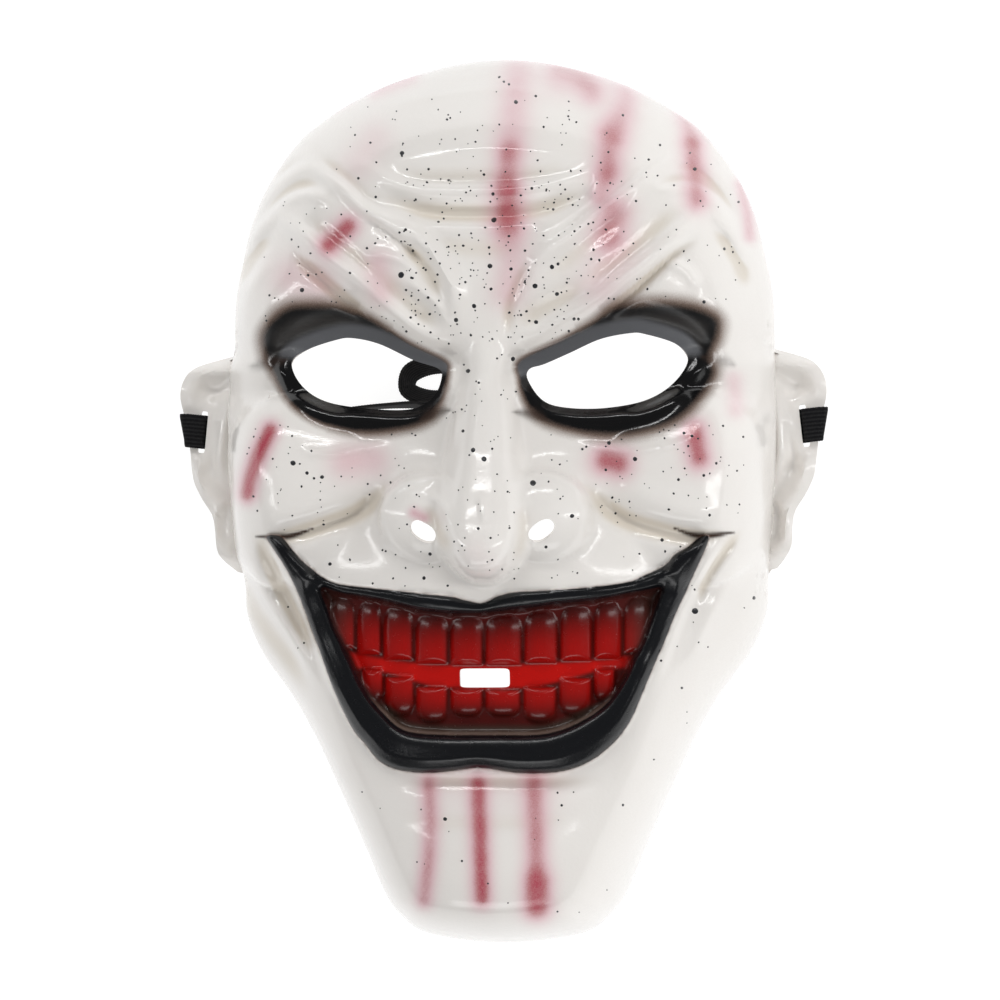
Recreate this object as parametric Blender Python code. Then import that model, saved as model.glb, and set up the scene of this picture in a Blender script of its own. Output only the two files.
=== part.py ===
"""A moulded face mask with a wide grin, and the woven elastic strap looped through its two ears.

The mask lies face up on its rim: +Z leaves the face, +Y points to the forehead, +X to the viewer's right.
The moulded sheet is a height field over the plan of the face, with an even wall behind it.
"""
import math

import bpy
import numpy as np
from mathutils import Vector
from mathutils.geometry import delaunay_2d_cdt

# Driving sizes, in metres
HALF_WIDTH = 0.084
HALF_HEIGHT = 0.1365
DEPTH = 0.088
WALL = 0.0012
EAR_REACH = 0.0157
EAR_HEIGHT = 0.0675
EAR_LOW = -0.0218
EAR_LIFT = 0.012
EAR_ROOT = 0.008
HELIX_RISE = 0.0024
FOLD_RISE = 0.0025
FOLD_WIDTH = 0.0040
BULGE_RISE = 0.006
SOCKET_DEPTH = 0.0055
LID_RISE = 0.0022
LID_WIDTH = 0.0036
LIP_RISE = 0.0042
MOUTH_DEPTH = 0.0035
TOOTH_RISE = 0.0022
NOSTRIL_LONG = 0.0042
NOSTRIL_SHORT = 0.0026
NOSTRIL_TILT = math.radians(35)
SLOT_LONG = 0.0130
SLOT_SHORT = 0.0022
SLOT_TILT = math.radians(6)
MOUTH_SLOT_LONG = 0.0148
MOUTH_SLOT_SHORT = 0.0056
STRAP_WIDTH = 0.0105
STRAP_THICK = 0.0011
SEAT_GAP = 0.0004
SEWN_LENGTH = 0.014

# Spacing of the mesh over worked areas, which is doubled over plain ones, along the rim, and inwards from it
WORKED_STEP = 0.0041
RIM_STEP = 0.0050
RIM_RINGS = (0.0009, 0.0032)
LIP_RINGS = (-0.0012, 0.0014)

# Places, as shares of HALF_WIDTH and HALF_HEIGHT
EAR_SLOT = (1.106, 0.160)
NOSTRIL = (0.207, -0.066)
MOUTH_SLOT = (-0.010, -0.383)

# Head outline: share of the half height, share of the half width there
OUTLINE = (
    (0.988, 0.190), (0.953, 0.395), (0.908, 0.556), (0.862, 0.673), (0.818, 0.757), (0.727, 0.865), (0.638, 0.930),
    (0.548, 0.967), (0.458, 0.995), (0.340, 1.001), (0.100, 1.004), (-0.171, 0.970), (-0.261, 0.961),
    (-0.350, 0.899), (-0.440, 0.792), (-0.530, 0.706), (-0.620, 0.635), (-0.711, 0.567), (-0.800, 0.504),
    (-0.890, 0.442), (-0.935, 0.389), (-0.980, 0.282),
)

# Ear outline from its top root to its low root: share of EAR_REACH past the head, share of EAR_HEIGHT
EAR = (
    (0.00, 1.000), (0.38, 0.973), (0.71, 0.942), (0.92, 0.889), (1.00, 0.825), (0.98, 0.759), (0.87, 0.675),
    (0.83, 0.569), (0.78, 0.472), (0.73, 0.410), (0.57, 0.334), (0.38, 0.264), (0.32, 0.199), (0.30, 0.111),
    (0.18, 0.052), (0.00, 0.000),
)

# Front of the face: share of the half height, then heights as shares of DEPTH at 0, 1/4, 1/2, 3/4 and 1 of the
# half width
FRONT = (
    (1.00, 0.50, 0.49, 0.45, 0.38, 0.28),
    (0.80, 0.64, 0.63, 0.59, 0.51, 0.39),
    (0.60, 0.70, 0.69, 0.65, 0.57, 0.44),
    (0.45, 0.71, 0.70, 0.66, 0.58, 0.43),
    (0.33, 0.69, 0.68, 0.64, 0.56, 0.40),
    (0.22, 0.68, 0.65, 0.60, 0.52, 0.37),
    (0.08, 0.70, 0.67, 0.62, 0.54, 0.38),
    (-0.06, 0.74, 0.71, 0.64, 0.53, 0.38),
    (-0.20, 0.77, 0.74, 0.67, 0.53, 0.34),
    (-0.38, 0.75, 0.72, 0.64, 0.48, 0.28),
    (-0.55, 0.71, 0.68, 0.59, 0.42, 0.23),
    (-0.72, 0.69, 0.66, 0.55, 0.38, 0.18),
    (-0.86, 0.68, 0.64, 0.51, 0.32, 0.14),
    (-1.00, 0.61, 0.56, 0.43, 0.23, 0.09),
)

# How far in from the rim the wall takes to reach the front: share of the half height, share of the half width
WALL_ROLL = ((1.0, 0.50), (0.7, 0.46), (0.4, 0.34), (0.1, 0.27), (-0.2, 0.24), (-0.5, 0.20), (-0.8, 0.19), (-1.0, 0.22))

# Nose ridge: share of the half height, height as a share of DEPTH, half width as a share of the half width
NOSE = (
    (0.40, 0.66, 0.12), (0.30, 0.73, 0.11), (0.20, 0.78, 0.12), (0.10, 0.84, 0.14), (0.02, 0.91, 0.16),
    (-0.05, 0.98, 0.165), (-0.10, 1.00, 0.16), (-0.14, 0.97, 0.14), (-0.165, 0.89, 0.115), (-0.185, 0.74, 0.08),
    (-0.21, 0.45, 0.05),
)
NOSE_DROP = 0.011
BLEND = 0.0022

# Round masses that the face swells into: share of the half width, of the half height, half sizes as shares of the
# half width, top as a share of DEPTH, and drop from the top to the rim of the mass as a share of DEPTH
MASSES = (
    ("cheek", 0.68, 0.02, 0.37, 0.36, 0.70, 0.20),
    ("nose_wing", 0.235, -0.028, 0.145, 0.150, 0.865, 0.16),
)

# Soft swellings: share of the half width, of the half height, reach each way as shares of the half width, and rise
# as a share of BULGE_RISE
BULGES = (
    ("chin", 0.00, -0.80, 0.46, 0.26, 0.90),
    ("muzzle", 0.30, -0.14, 0.26, 0.14, 0.45),
    ("brow", 0.36, 0.50, 0.24, 0.14, 0.75),
    ("crown", 0.00, 0.82, 0.50, 0.22, 0.45),
    ("temple", 0.62, 0.66, 0.16, 0.16, 0.35),
    ("outer_lid", 0.86, 0.44, 0.10, 0.20, 0.80),
    ("jaw", 0.60, -0.56, 0.12, 0.26, 0.35),
)

# Folds: name, rise as a share of FOLD_RISE, width as a share of FOLD_WIDTH, and the points of its line as shares
FOLDS = (
    ("fore_hollow_1", -0.55, 1.3, ((-0.395, 0.704), (-0.155, 0.692), (0.057, 0.692), (0.338, 0.709))),
    ("fore_ridge_1", 0.70, 0.8, ((-0.454, 0.723), (-0.295, 0.676), (-0.013, 0.669), (0.216, 0.675), (0.384, 0.701))),
    ("fore_hollow_2", -0.50, 1.2, ((-0.244, 0.635), (-0.050, 0.620), (0.214, 0.635), (0.309, 0.649))),
    ("fore_ridge_2", 0.45, 0.9, ((-0.296, 0.618), (-0.102, 0.596), (0.162, 0.600), (0.310, 0.631), (0.405, 0.682))),
    ("frown_left", -1.00, 0.9, ((-0.573, 0.725), (-0.456, 0.659), (-0.298, 0.573), (-0.130, 0.476), (-0.107, 0.357))),
    ("frown_right", -1.00, 0.9, ((0.619, 0.732), (0.456, 0.662), (0.308, 0.606), (0.117, 0.491), (0.084, 0.375))),
    ("frown_inner_left", -0.60, 0.9, ((-0.445, 0.717), (-0.410, 0.671), (-0.340, 0.629), (-0.171, 0.552))),
    ("frown_inner_right", -0.60, 0.9, ((0.543, 0.656), (0.357, 0.597), (0.195, 0.546))),
    ("brow_edge_left", 1.10, 1.0, ((-0.859, 0.588), (-0.784, 0.625), (-0.595, 0.532), (-0.343, 0.411), (-0.149, 0.335))),
    ("brow_edge_right", 1.10, 1.0, ((0.869, 0.576), (0.771, 0.628), (0.619, 0.568), (0.401, 0.456), (0.097, 0.331))),
    ("brow_under_left", -1.30, 1.5, ((-0.823, 0.578), (-0.732, 0.569), (-0.522, 0.454), (-0.406, 0.398))),
    ("brow_under_right", -1.30, 1.5, ((0.769, 0.593), (0.618, 0.525), (0.491, 0.452), (0.386, 0.404))),
    ("outer_crease_left", -0.90, 1.0, ((-0.945, 0.503), (-0.897, 0.549), (-0.808, 0.593))),
    ("outer_crease_right", -0.90, 1.0, ((0.892, 0.491), (0.853, 0.552), (0.789, 0.590))),
    ("temple_1_left", 0.60, 0.8, ((-0.690, 0.738), (-0.792, 0.704), (-0.856, 0.641))),
    ("temple_2_left", 0.60, 0.8, ((-0.608, 0.707), (-0.734, 0.679), (-0.863, 0.606))),
    ("temple_3_left", 0.60, 0.9, ((-0.484, 0.652), (-0.696, 0.670), (-0.819, 0.621))),
    ("temple_1_right", 0.60, 0.8, ((0.576, 0.757), (0.768, 0.705), (0.823, 0.655))),
    ("temple_2_right", 0.60, 0.8, ((0.593, 0.714), (0.713, 0.688), (0.809, 0.632))),
    ("temple_3_right", 0.60, 0.9, ((0.501, 0.655), (0.714, 0.658), (0.823, 0.596))),
    ("cheek_line_left", -1.10, 1.3, ((-0.367, 0.009), (-0.507, -0.030), (-0.721, -0.069), (-0.832, -0.077))),
    ("cheek_line_right", -1.10, 1.3, ((0.347, 0.011), (0.520, -0.061), (0.729, -0.078), (0.861, -0.077))),
    ("under_eye_left", 0.35, 0.8, ((-0.677, 0.118), (-0.563, 0.101), (-0.347, 0.132), (-0.213, 0.144))),
    ("under_eye_right", 0.35, 0.8, ((0.209, 0.132), (0.365, 0.112), (0.537, 0.105), (0.709, 0.133))),
    ("smile_hollow_left", -1.10, 1.2, ((-0.829, -0.102), (-0.739, -0.206), (-0.636, -0.349))),
    ("smile_hollow_right", -1.10, 1.2, ((0.830, -0.100), (0.712, -0.229), (0.607, -0.391))),
    ("jaw_ridge_left", 0.80, 1.8, ((-0.910, -0.102), (-0.744, -0.277), (-0.558, -0.521), (-0.498, -0.608))),
    ("jaw_ridge_right", 0.80, 1.8, ((0.910, -0.102), (0.800, -0.277), (0.600, -0.521), (0.520, -0.608))),
    ("chin_hollow_1", -0.90, 1.0, ((-0.318, -0.603), (0.001, -0.603), (0.318, -0.597), (0.388, -0.580))),
    ("chin_hollow_2", -0.50, 1.3, ((-0.364, -0.682), (-0.142, -0.696), (0.228, -0.690), (0.350, -0.682))),
)

# Eye hole, from the outer corner over the top: shares of the half width and the half height, for the right eye
EYE = (
    (0.722, 0.311), (0.674, 0.342), (0.565, 0.364), (0.506, 0.367), (0.403, 0.353), (0.284, 0.320), (0.195, 0.300),
    (0.158, 0.286), (0.158, 0.262), (0.197, 0.227), (0.284, 0.203), (0.428, 0.204), (0.581, 0.221), (0.676, 0.258),
)

# Outer edge of the lips, and the mouth's edge inside them, from the top middle down: shares as for the eye, with a
# row for each side taken as its mirror
LIPS_OUTER = (
    (0.000, -0.220), (0.110, -0.206), (0.290, -0.193), (0.500, -0.178), (0.625, -0.140), (0.745, -0.095),
    (0.775, -0.100), (0.722, -0.170), (0.670, -0.236), (0.630, -0.310), (0.588, -0.390), (0.546, -0.460),
    (0.490, -0.520), (0.405, -0.562), (0.320, -0.580), (0.200, -0.584), (0.000, -0.577),
)
LIPS_INNER = (
    (0.000, -0.240), (0.110, -0.233), (0.300, -0.226), (0.500, -0.211), (0.600, -0.202), (0.598, -0.236),
    (0.560, -0.294), (0.526, -0.340), (0.490, -0.385), (0.445, -0.428), (0.400, -0.462), (0.340, -0.488),
    (0.275, -0.502), (0.180, -0.508), (0.000, -0.506),
)

# Teeth, from the middle outwards: share of the half width at the tooth's outer edge, then the gum's and the biting
# edge's share of the half height
UPPER_TEETH = (
    (0.134, -0.243, -0.357), (0.262, -0.240, -0.354), (0.381, -0.226, -0.350), (0.479, -0.217, -0.343),
    (0.576, -0.211, -0.328),
)
LOWER_TEETH = ((0.133, -0.465, -0.408), (0.259, -0.480, -0.405), (0.372, -0.468, -0.392), (0.450, -0.440, -0.366))

# Strap route from the left ear to the right: shares of HALF_WIDTH and HALF_HEIGHT, how far it is held up off the
# ground as a share of EAR_LIFT, and its turn from flat as a share of a quarter turn
STRAP_ROUTE = (
    (-0.870, 0.160, 0.50, 0.00), (-0.800, 0.166, 0.32, 0.20), (-0.710, 0.178, 0.10, 0.60),
    (-0.600, 0.192, 0.00, 0.90), (-0.480, 0.203, 0.00, 0.96), (-0.320, 0.208, 0.00, 0.90),
    (-0.190, 0.206, 0.00, 0.80), (-0.100, 0.204, 0.00, 0.88), (-0.052, 0.222, 0.00, 0.96),
    (-0.085, 0.242, 0.00, 0.88), (-0.170, 0.238, 0.00, 0.72), (-0.260, 0.232, 0.00, 0.68),
    (-0.335, 0.252, 0.00, 0.72), (-0.325, 0.290, 0.00, 0.68), (-0.245, 0.306, 0.00, 0.68),
    (-0.140, 0.298, 0.00, 0.76), (-0.030, 0.262, 0.00, 0.88), (0.080, 0.205, 0.00, 0.96),
    (0.230, 0.160, 0.00, 1.00), (0.420, 0.145, 0.00, 0.96), (0.590, 0.148, 0.02, 0.80),
    (0.710, 0.155, 0.14, 0.40), (0.800, 0.158, 0.34, 0.12), (0.870, 0.160, 0.50, 0.00),
)


def clear_scene():
    for thing in list(bpy.data.objects):
        bpy.data.objects.remove(thing, do_unlink=True)


def column(table, index):
    return np.array([row[index] for row in table])


def placed(points):
    """Shares of the half width and half height as places in metres."""
    return np.array([(u * HALF_WIDTH, v * HALF_HEIGHT) for u, v in points])


def mirrored(points):
    """A right half, top to bottom, closed with its mirror."""
    left = [(-u, v) for u, v in reversed(points) if abs(u) > 1e-9]
    return list(points) + left


def smooth_curve(points, closed, step):
    """Points a step apart on the spline through these points."""
    pts = np.array(points, float)
    count = len(pts)
    spans = count if closed else count - 1
    fine = []
    for i in range(spans):
        if closed:
            a, b, c, d = (pts[(i + k) % count] for k in (-1, 0, 1, 2))
        else:
            a, b, c, d = (pts[min(max(i + k, 0), count - 1)] for k in (-1, 0, 1, 2))
        for t in np.linspace(0.0, 1.0, 12, endpoint=False):
            fine.append(0.5 * ((2 * b) + (c - a) * t + (2 * a - 5 * b + 4 * c - d) * t**2
                               + (3 * b - a - 3 * c + d) * t**3))
    fine.append(pts[0] if closed else pts[-1])
    return evenly(np.array(fine), closed, step)


def evenly(line, closed, step):
    """A line cut into even steps."""
    runs = np.concatenate([[0.0], np.cumsum(np.linalg.norm(np.diff(line, axis=0), axis=1))])
    count = max(2, round(runs[-1] / step))
    places = np.linspace(0.0, runs[-1], count + 1)
    if closed:
        places = places[:-1]
    return np.stack([np.interp(places, runs, line[:, k]) for k in range(line.shape[1])], axis=1)


def away_from(line, x, y, closed=False):
    """Distance to a line, and how far along it the nearest point lies, from 0 to 1."""
    ends = np.roll(line, -1, axis=0) if closed else line[1:]
    starts = line if closed else line[:-1]
    best = np.full(x.shape, 1e9)
    along = np.zeros(x.shape)
    for i, (a, b) in enumerate(zip(starts, ends)):
        run = b - a
        t = np.clip(((x - a[0]) * run[0] + (y - a[1]) * run[1]) / max(run @ run, 1e-18), 0.0, 1.0)
        gap = np.hypot(x - a[0] - t * run[0], y - a[1] - t * run[1])
        nearer = gap < best
        best = np.where(nearer, gap, best)
        along = np.where(nearer, (i + t) / len(starts), along)
    return best, along


def within(line, x, y):
    """True inside a closed line."""
    inside = np.zeros(x.shape, bool)
    for a, b in zip(line, np.roll(line, -1, axis=0)):
        crosses = (a[1] > y) != (b[1] > y)
        if b[1] != a[1]:
            inside ^= crosses & (x < (b[0] - a[0]) * (y - a[1]) / (b[1] - a[1]) + a[0])
    return inside


def depth_into(line, x, y):
    """Signed distance to a closed line: above 0 inside."""
    gap, _ = away_from(line, x, y, closed=True)
    return np.where(within(line, x, y), gap, -gap)


def smooth_step(low, high, value):
    t = np.clip((value - low) / (high - low), 0.0, 1.0)
    return t * t * (3 - 2 * t)


def smooth_max(a, b, blend):
    return 0.5 * (a + b + np.sqrt((a - b) ** 2 + blend**2))


def head_outline(step=0.003):
    points = [(0.0, 1.0)] + [(u, v) for v, u in OUTLINE] + [(0.0, -1.0)]
    return smooth_curve(placed(mirrored(points)), True, step)


def ear_line(step):
    rows = [(HALF_WIDTH + reach * EAR_REACH, EAR_LOW + up * EAR_HEIGHT) for reach, up in EAR]
    return smooth_curve(rows, False, step)


def rim_line(step):
    """The whole free edge of the sheet: the head's outline with the ears in it."""
    head = head_outline(step / 4)
    ear = ear_line(step)
    high, low = ear[0][1], ear[-1][1]
    right = head[head[:, 0] >= 0]
    right = right[np.argsort(-right[:, 1])]
    top = right[right[:, 1] > high + step / 4]
    bottom = right[right[:, 1] < low - step / 4]
    top = evenly(np.vstack([top, ear[0]]), False, step)[:-1]
    bottom = evenly(np.vstack([ear[-1], bottom]), False, step)[1:]
    half = np.vstack([top, ear, bottom])
    half = half[np.abs(half[:, 0]) > step / 3]
    crown = np.array([[0.0, HALF_HEIGHT]])
    base = np.array([[0.0, -HALF_HEIGHT]])
    other = half[::-1] * (-1.0, 1.0)
    return np.vstack([crown, half, base, other])


def oval(centre, long, short, tilt, power, step):
    """A closed line round a centre, an ellipse at power 2 and squarer above it."""
    turns = np.linspace(0.0, math.tau, 64, endpoint=False)
    c, s = np.cos(turns), np.sin(turns)
    a = long * np.sign(c) * np.abs(c) ** (2 / power)
    b = short * np.sign(s) * np.abs(s) ** (2 / power)
    line = np.stack([centre[0] + a * math.cos(tilt) - b * math.sin(tilt),
                     centre[1] + a * math.sin(tilt) + b * math.cos(tilt)], axis=1)
    return evenly(np.vstack([line, line[:1]]), True, step)


def hole_lines(step):
    """The eye, nostril, mouth and ear holes, cut through the sheet."""
    holes = []
    for side in (1.0, -1.0):
        turn = (side, 1.0)
        holes.append(smooth_curve(placed(EYE) * turn, True, step))
        nostril = placed([NOSTRIL])[0] * turn
        holes.append(oval(nostril, NOSTRIL_LONG, NOSTRIL_SHORT, side * NOSTRIL_TILT, 2.0, step / 1.5))
        slot = placed([EAR_SLOT])[0] * turn
        tilt = math.pi / 2 + side * SLOT_TILT
        holes.append(oval(slot, SLOT_LONG / 2, SLOT_SHORT / 2, tilt, 8.0, SLOT_SHORT))
    mouth = placed([MOUTH_SLOT])[0]
    holes.append(oval(mouth, MOUTH_SLOT_LONG / 2, MOUTH_SLOT_SHORT / 2, 0.0, 8.0, step / 1.5))
    return holes


def front_height(x, y):
    """The plain front of the face, from the table of sections."""
    v = np.clip(y / HALF_HEIGHT, -1.0, 1.0)
    u = np.clip(np.abs(x) / HALF_WIDTH, 0.0, 1.2)
    rows = column(FRONT, 0)[::-1]
    quarter = []
    for k in range(1, 6):
        quarter.append(eased(v, rows, column(FRONT, k)[::-1]))
    a, b, c, d, e = quarter
    q = 4.0 * u
    height = np.where(q < 1, mixed(b, a, b, c, q), 0.0)
    height = np.where((q >= 1) & (q < 2), mixed(a, b, c, d, q - 1), height)
    height = np.where((q >= 2) & (q < 3), mixed(b, c, d, e, q - 2), height)
    height = np.where(q >= 3, mixed(c, d, e, 2 * e - d, q - 3), height)
    return height * DEPTH


def mixed(a, b, c, d, t):
    return 0.5 * (2 * b + (c - a) * t + (2 * a - 5 * b + 4 * c - d) * t**2 + (3 * b - a - 3 * c + d) * t**3)


def eased(value, places, heights):
    """Heights between rows, on a spline through them."""
    i = np.clip(np.searchsorted(places, value) - 1, 0, len(places) - 2)
    t = np.clip((value - places[i]) / (places[i + 1] - places[i]), 0.0, 1.0)
    before = heights[np.maximum(i - 1, 0)]
    after = heights[np.minimum(i + 2, len(places) - 1)]
    return mixed(before, heights[i], heights[i + 1], after, t)


def with_nose(x, y, height):
    rows = NOSE[::-1]
    v = y / HALF_HEIGHT
    top = eased(v, column(rows, 0), column(rows, 1)) * DEPTH
    half = eased(v, column(rows, 0), column(rows, 2)) * HALF_WIDTH
    ridge = top - NOSE_DROP * (x / half) ** 2
    ends = smooth_step(rows[0][0] - 0.02, rows[0][0], v) * (1 - smooth_step(rows[-1][0], rows[-1][0] + 0.05, v))
    ridge = ridge - (1 - ends) * DEPTH / 4
    return smooth_max(height, ridge, BLEND)


def with_masses(x, y, height):
    for _, u, v, wide, high, top, drop in MASSES:
        across = (np.abs(x) - u * HALF_WIDTH) / (wide * HALF_WIDTH)
        up = (y - v * HALF_HEIGHT) / (high * HALF_WIDTH)
        round_off = 1 - np.sqrt(np.clip(1 - across**2 - up**2, 0.0, 1.0))
        past = np.clip(across**2 + up**2 - 1, 0.0, None)
        mass = DEPTH * (top - drop * (round_off + past))
        height = smooth_max(height, mass, BLEND)
    return height


def bulge_height(x, y):
    rise = np.zeros(x.shape)
    for _, u, v, wide, high, share in BULGES:
        for side in (1.0, -1.0) if u else (1.0,):
            across = (x - side * u * HALF_WIDTH) / (wide * HALF_WIDTH)
            up = (y - v * HALF_HEIGHT) / (high * HALF_WIDTH)
            rise += share * BULGE_RISE * np.exp(-(across**2) - up**2)
    return rise


def fold_height(x, y):
    rise = np.zeros(x.shape)
    for _, share, width, points in FOLDS:
        line = smooth_curve(placed(points), False, WORKED_STEP)
        gap, along = away_from(line, x, y)
        fade = smooth_step(0.0, 0.22, along) * (1 - smooth_step(0.78, 1.0, along))
        rise += share * FOLD_RISE * (0.15 + 0.85 * fade) * np.exp(-((gap / (width * FOLD_WIDTH)) ** 2))
    return rise


def eye_height(x, y):
    """The sunk socket round each eye hole, with a raised roll along the lower lid."""
    rise = np.zeros(x.shape)
    for side in (1.0, -1.0):
        line = smooth_curve(placed(EYE) * (side, 1.0), True, WORKED_STEP)
        gap = np.clip(-depth_into(line, x, y), 0.0, None)
        centre = line.mean(axis=0)
        lower = smooth_step(0.002, -0.006, y - centre[1])
        rise -= SOCKET_DEPTH * np.exp(-((gap / (2.6 * LID_WIDTH)) ** 2)) * (1 - 0.45 * lower)
        rise += LID_RISE * lower * np.exp(-(((gap - 0.75 * LID_WIDTH) / (0.6 * LID_WIDTH)) ** 2))
        rise += 0.35 * LID_RISE * (1 - lower) * np.exp(-(((gap - LID_WIDTH) / (0.6 * LID_WIDTH)) ** 2))
    return rise


def mouth_height(x, y):
    """The rolled lips, and the sunk mouth inside them with its two rows of teeth."""
    outer = smooth_curve(placed(mirrored(LIPS_OUTER)), True, WORKED_STEP)
    inner = smooth_curve(placed(mirrored(LIPS_INNER)), True, WORKED_STEP)
    into_lips = depth_into(outer, x, y)
    into_mouth = depth_into(inner, x, y)
    across = np.clip(into_lips, 0.0, None) / np.clip(into_lips - into_mouth, 1e-6, None)
    roll = np.sqrt(np.clip(4 * across * (1 - across), 0.0, 1.0)) * (into_lips > 0) * (into_mouth < 0)
    width = np.clip(into_lips - into_mouth, 0.0, None)
    rise = LIP_RISE * roll * smooth_step(0.0, 0.009, width)
    sunk = smooth_step(-0.0012, 0.0016, into_mouth)
    teeth = tooth_height(x, y)
    return rise - MOUTH_DEPTH * sunk + teeth * sunk


def tooth_height(x, y):
    rise = np.zeros(x.shape)
    for table in (UPPER_TEETH, LOWER_TEETH):
        edge = 0.0
        for share, gum, bite in table:
            middle, half = (share + edge) / 2 * HALF_WIDTH, (share - edge) / 2 * HALF_WIDTH
            low, high = sorted((gum * HALF_HEIGHT, bite * HALF_HEIGHT))
            across = np.clip(np.abs(np.abs(x) - middle) / half, 0.0, 1.0)
            up = np.clip(np.abs(y - (low + high) / 2) / ((high - low) / 2), 0.0, 1.0)
            rise += TOOTH_RISE * (1 - across**4) ** 0.8 * (1 - up**5) ** 0.8
            edge = share
    return rise


def ear_height(x, y):
    """The rolled helix of each ear and the hollow inside it, with a flat seat for the strap round the slot."""
    line = ear_line(WORKED_STEP)
    gap, _ = away_from(line, np.abs(x), y)
    out = smooth_step(-0.3 * EAR_REACH, 0.15 * EAR_REACH, np.abs(x) - HALF_WIDTH)
    helix = np.exp(-(((gap - 0.16 * EAR_REACH) / (0.2 * EAR_REACH)) ** 2))
    hollow = np.exp(-(((gap - 0.6 * EAR_REACH) / (0.22 * EAR_REACH)) ** 2))
    slot = placed([EAR_SLOT])[0]
    pad = smooth_step(0.55 * SLOT_LONG, 0.95 * SLOT_LONG, np.abs(y - slot[1]))
    return HELIX_RISE * out * pad * (helix - 0.6 * hollow)


def ear_lift(y):
    """How high the rim stands beside the ears, clear of the strap below it."""
    high = EAR_LOW + EAR_HEIGHT
    up = smooth_step(EAR_LOW - 0.25 * EAR_ROOT, EAR_LOW + 0.75 * EAR_ROOT, y)
    down = smooth_step(high - 0.75 * EAR_ROOT, high + 0.25 * EAR_ROOT, y)
    return EAR_LIFT * up * (1 - down)


def sheet_height(x, y):
    """Height of the outer face of the moulded sheet."""
    front = with_masses(x, y, with_nose(x, y, front_height(x, y) + bulge_height(x, y)))
    front = front + fold_height(x, y) + eye_height(x, y) + mouth_height(x, y)
    v = y / HALF_HEIGHT
    roll = eased(v, column(WALL_ROLL, 0)[::-1], column(WALL_ROLL, 1)[::-1]) * HALF_WIDTH
    inside = np.clip(depth_into(head_outline(), x, y) / roll, 0.0, 1.0)
    wall = (1 - (1 - inside) ** 2.2) ** 0.55
    lift = ear_lift(y)
    return lift + (front - lift) * wall + ear_height(x, y) * (1 - wall) * lift / EAR_LIFT


def lattice(outline, holes, lines):
    """Points over the plan of the sheet, closer where it is worked."""
    step = WORKED_STEP
    reach = HALF_WIDTH + EAR_REACH
    rows = int(2 * HALF_HEIGHT / (step * 0.866)) + 2
    cols = int(2 * reach / step) + rows + 2
    i, j = np.meshgrid(np.arange(-cols, cols), np.arange(-rows, rows))
    i, j = i.ravel(), j.ravel()
    x = step * (i + 0.5 * j)
    y = step * 0.866 * j
    coarse = (i % 2 == 0) & (j % 2 == 0)
    near = np.abs(x) < reach
    i, j, x, y, coarse = i[near], j[near], x[near], y[near], coarse[near]
    keep = within(outline, x, y)
    gap, _ = away_from(outline, x, y, closed=True)
    keep &= gap > RIM_RINGS[-1] + 0.45 * step
    worked = np.zeros(x.shape, bool)
    for hole in holes:
        gap, _ = away_from(hole, x, y, closed=True)
        keep &= (gap > 0.6 * step) & ~within(hole, x, y)
        worked |= gap < 1.6 * step
    for line in lines:
        gap, _ = away_from(line, x, y)
        keep &= gap > 0.5 * step
        worked |= gap < 1.5 * step
    worked |= np.abs(x) > 0.97 * HALF_WIDTH
    worked |= (np.abs(x) < 0.42 * HALF_WIDTH) & (np.abs(y + 0.02 * HALF_HEIGHT) < 0.18 * HALF_HEIGHT)
    keep &= worked | coarse
    return np.stack([x[keep], y[keep]], axis=1)


def tooth_points():
    """Mesh points on each tooth: down its two edges and its face."""
    points = []
    for table in (UPPER_TEETH, LOWER_TEETH):
        edge = 0.0
        for share, gum, bite in table:
            for part in (0.3, 0.7, 1.0):
                for down in (0.05, 0.2, 0.55, 0.85, 1.0):
                    points.append((edge + part * (share - edge), gum + down * (bite - gum)))
            edge = share
    points = placed(points)
    return np.vstack([points, points * (-1.0, 1.0)])


def inset_line(outline, inset):
    """A clockwise closed line moved inwards."""
    run = np.roll(outline, -1, axis=0) - np.roll(outline, 1, axis=0)
    normal = np.stack([run[:, 1], -run[:, 0]], axis=1)
    normal /= np.linalg.norm(normal, axis=1, keepdims=True)
    ring = outline + normal * inset
    if inset == 0.0:
        return ring
    gap, _ = away_from(outline, ring[:, 0], ring[:, 1], closed=True)
    return ring[gap > 0.93 * abs(inset)]


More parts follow.
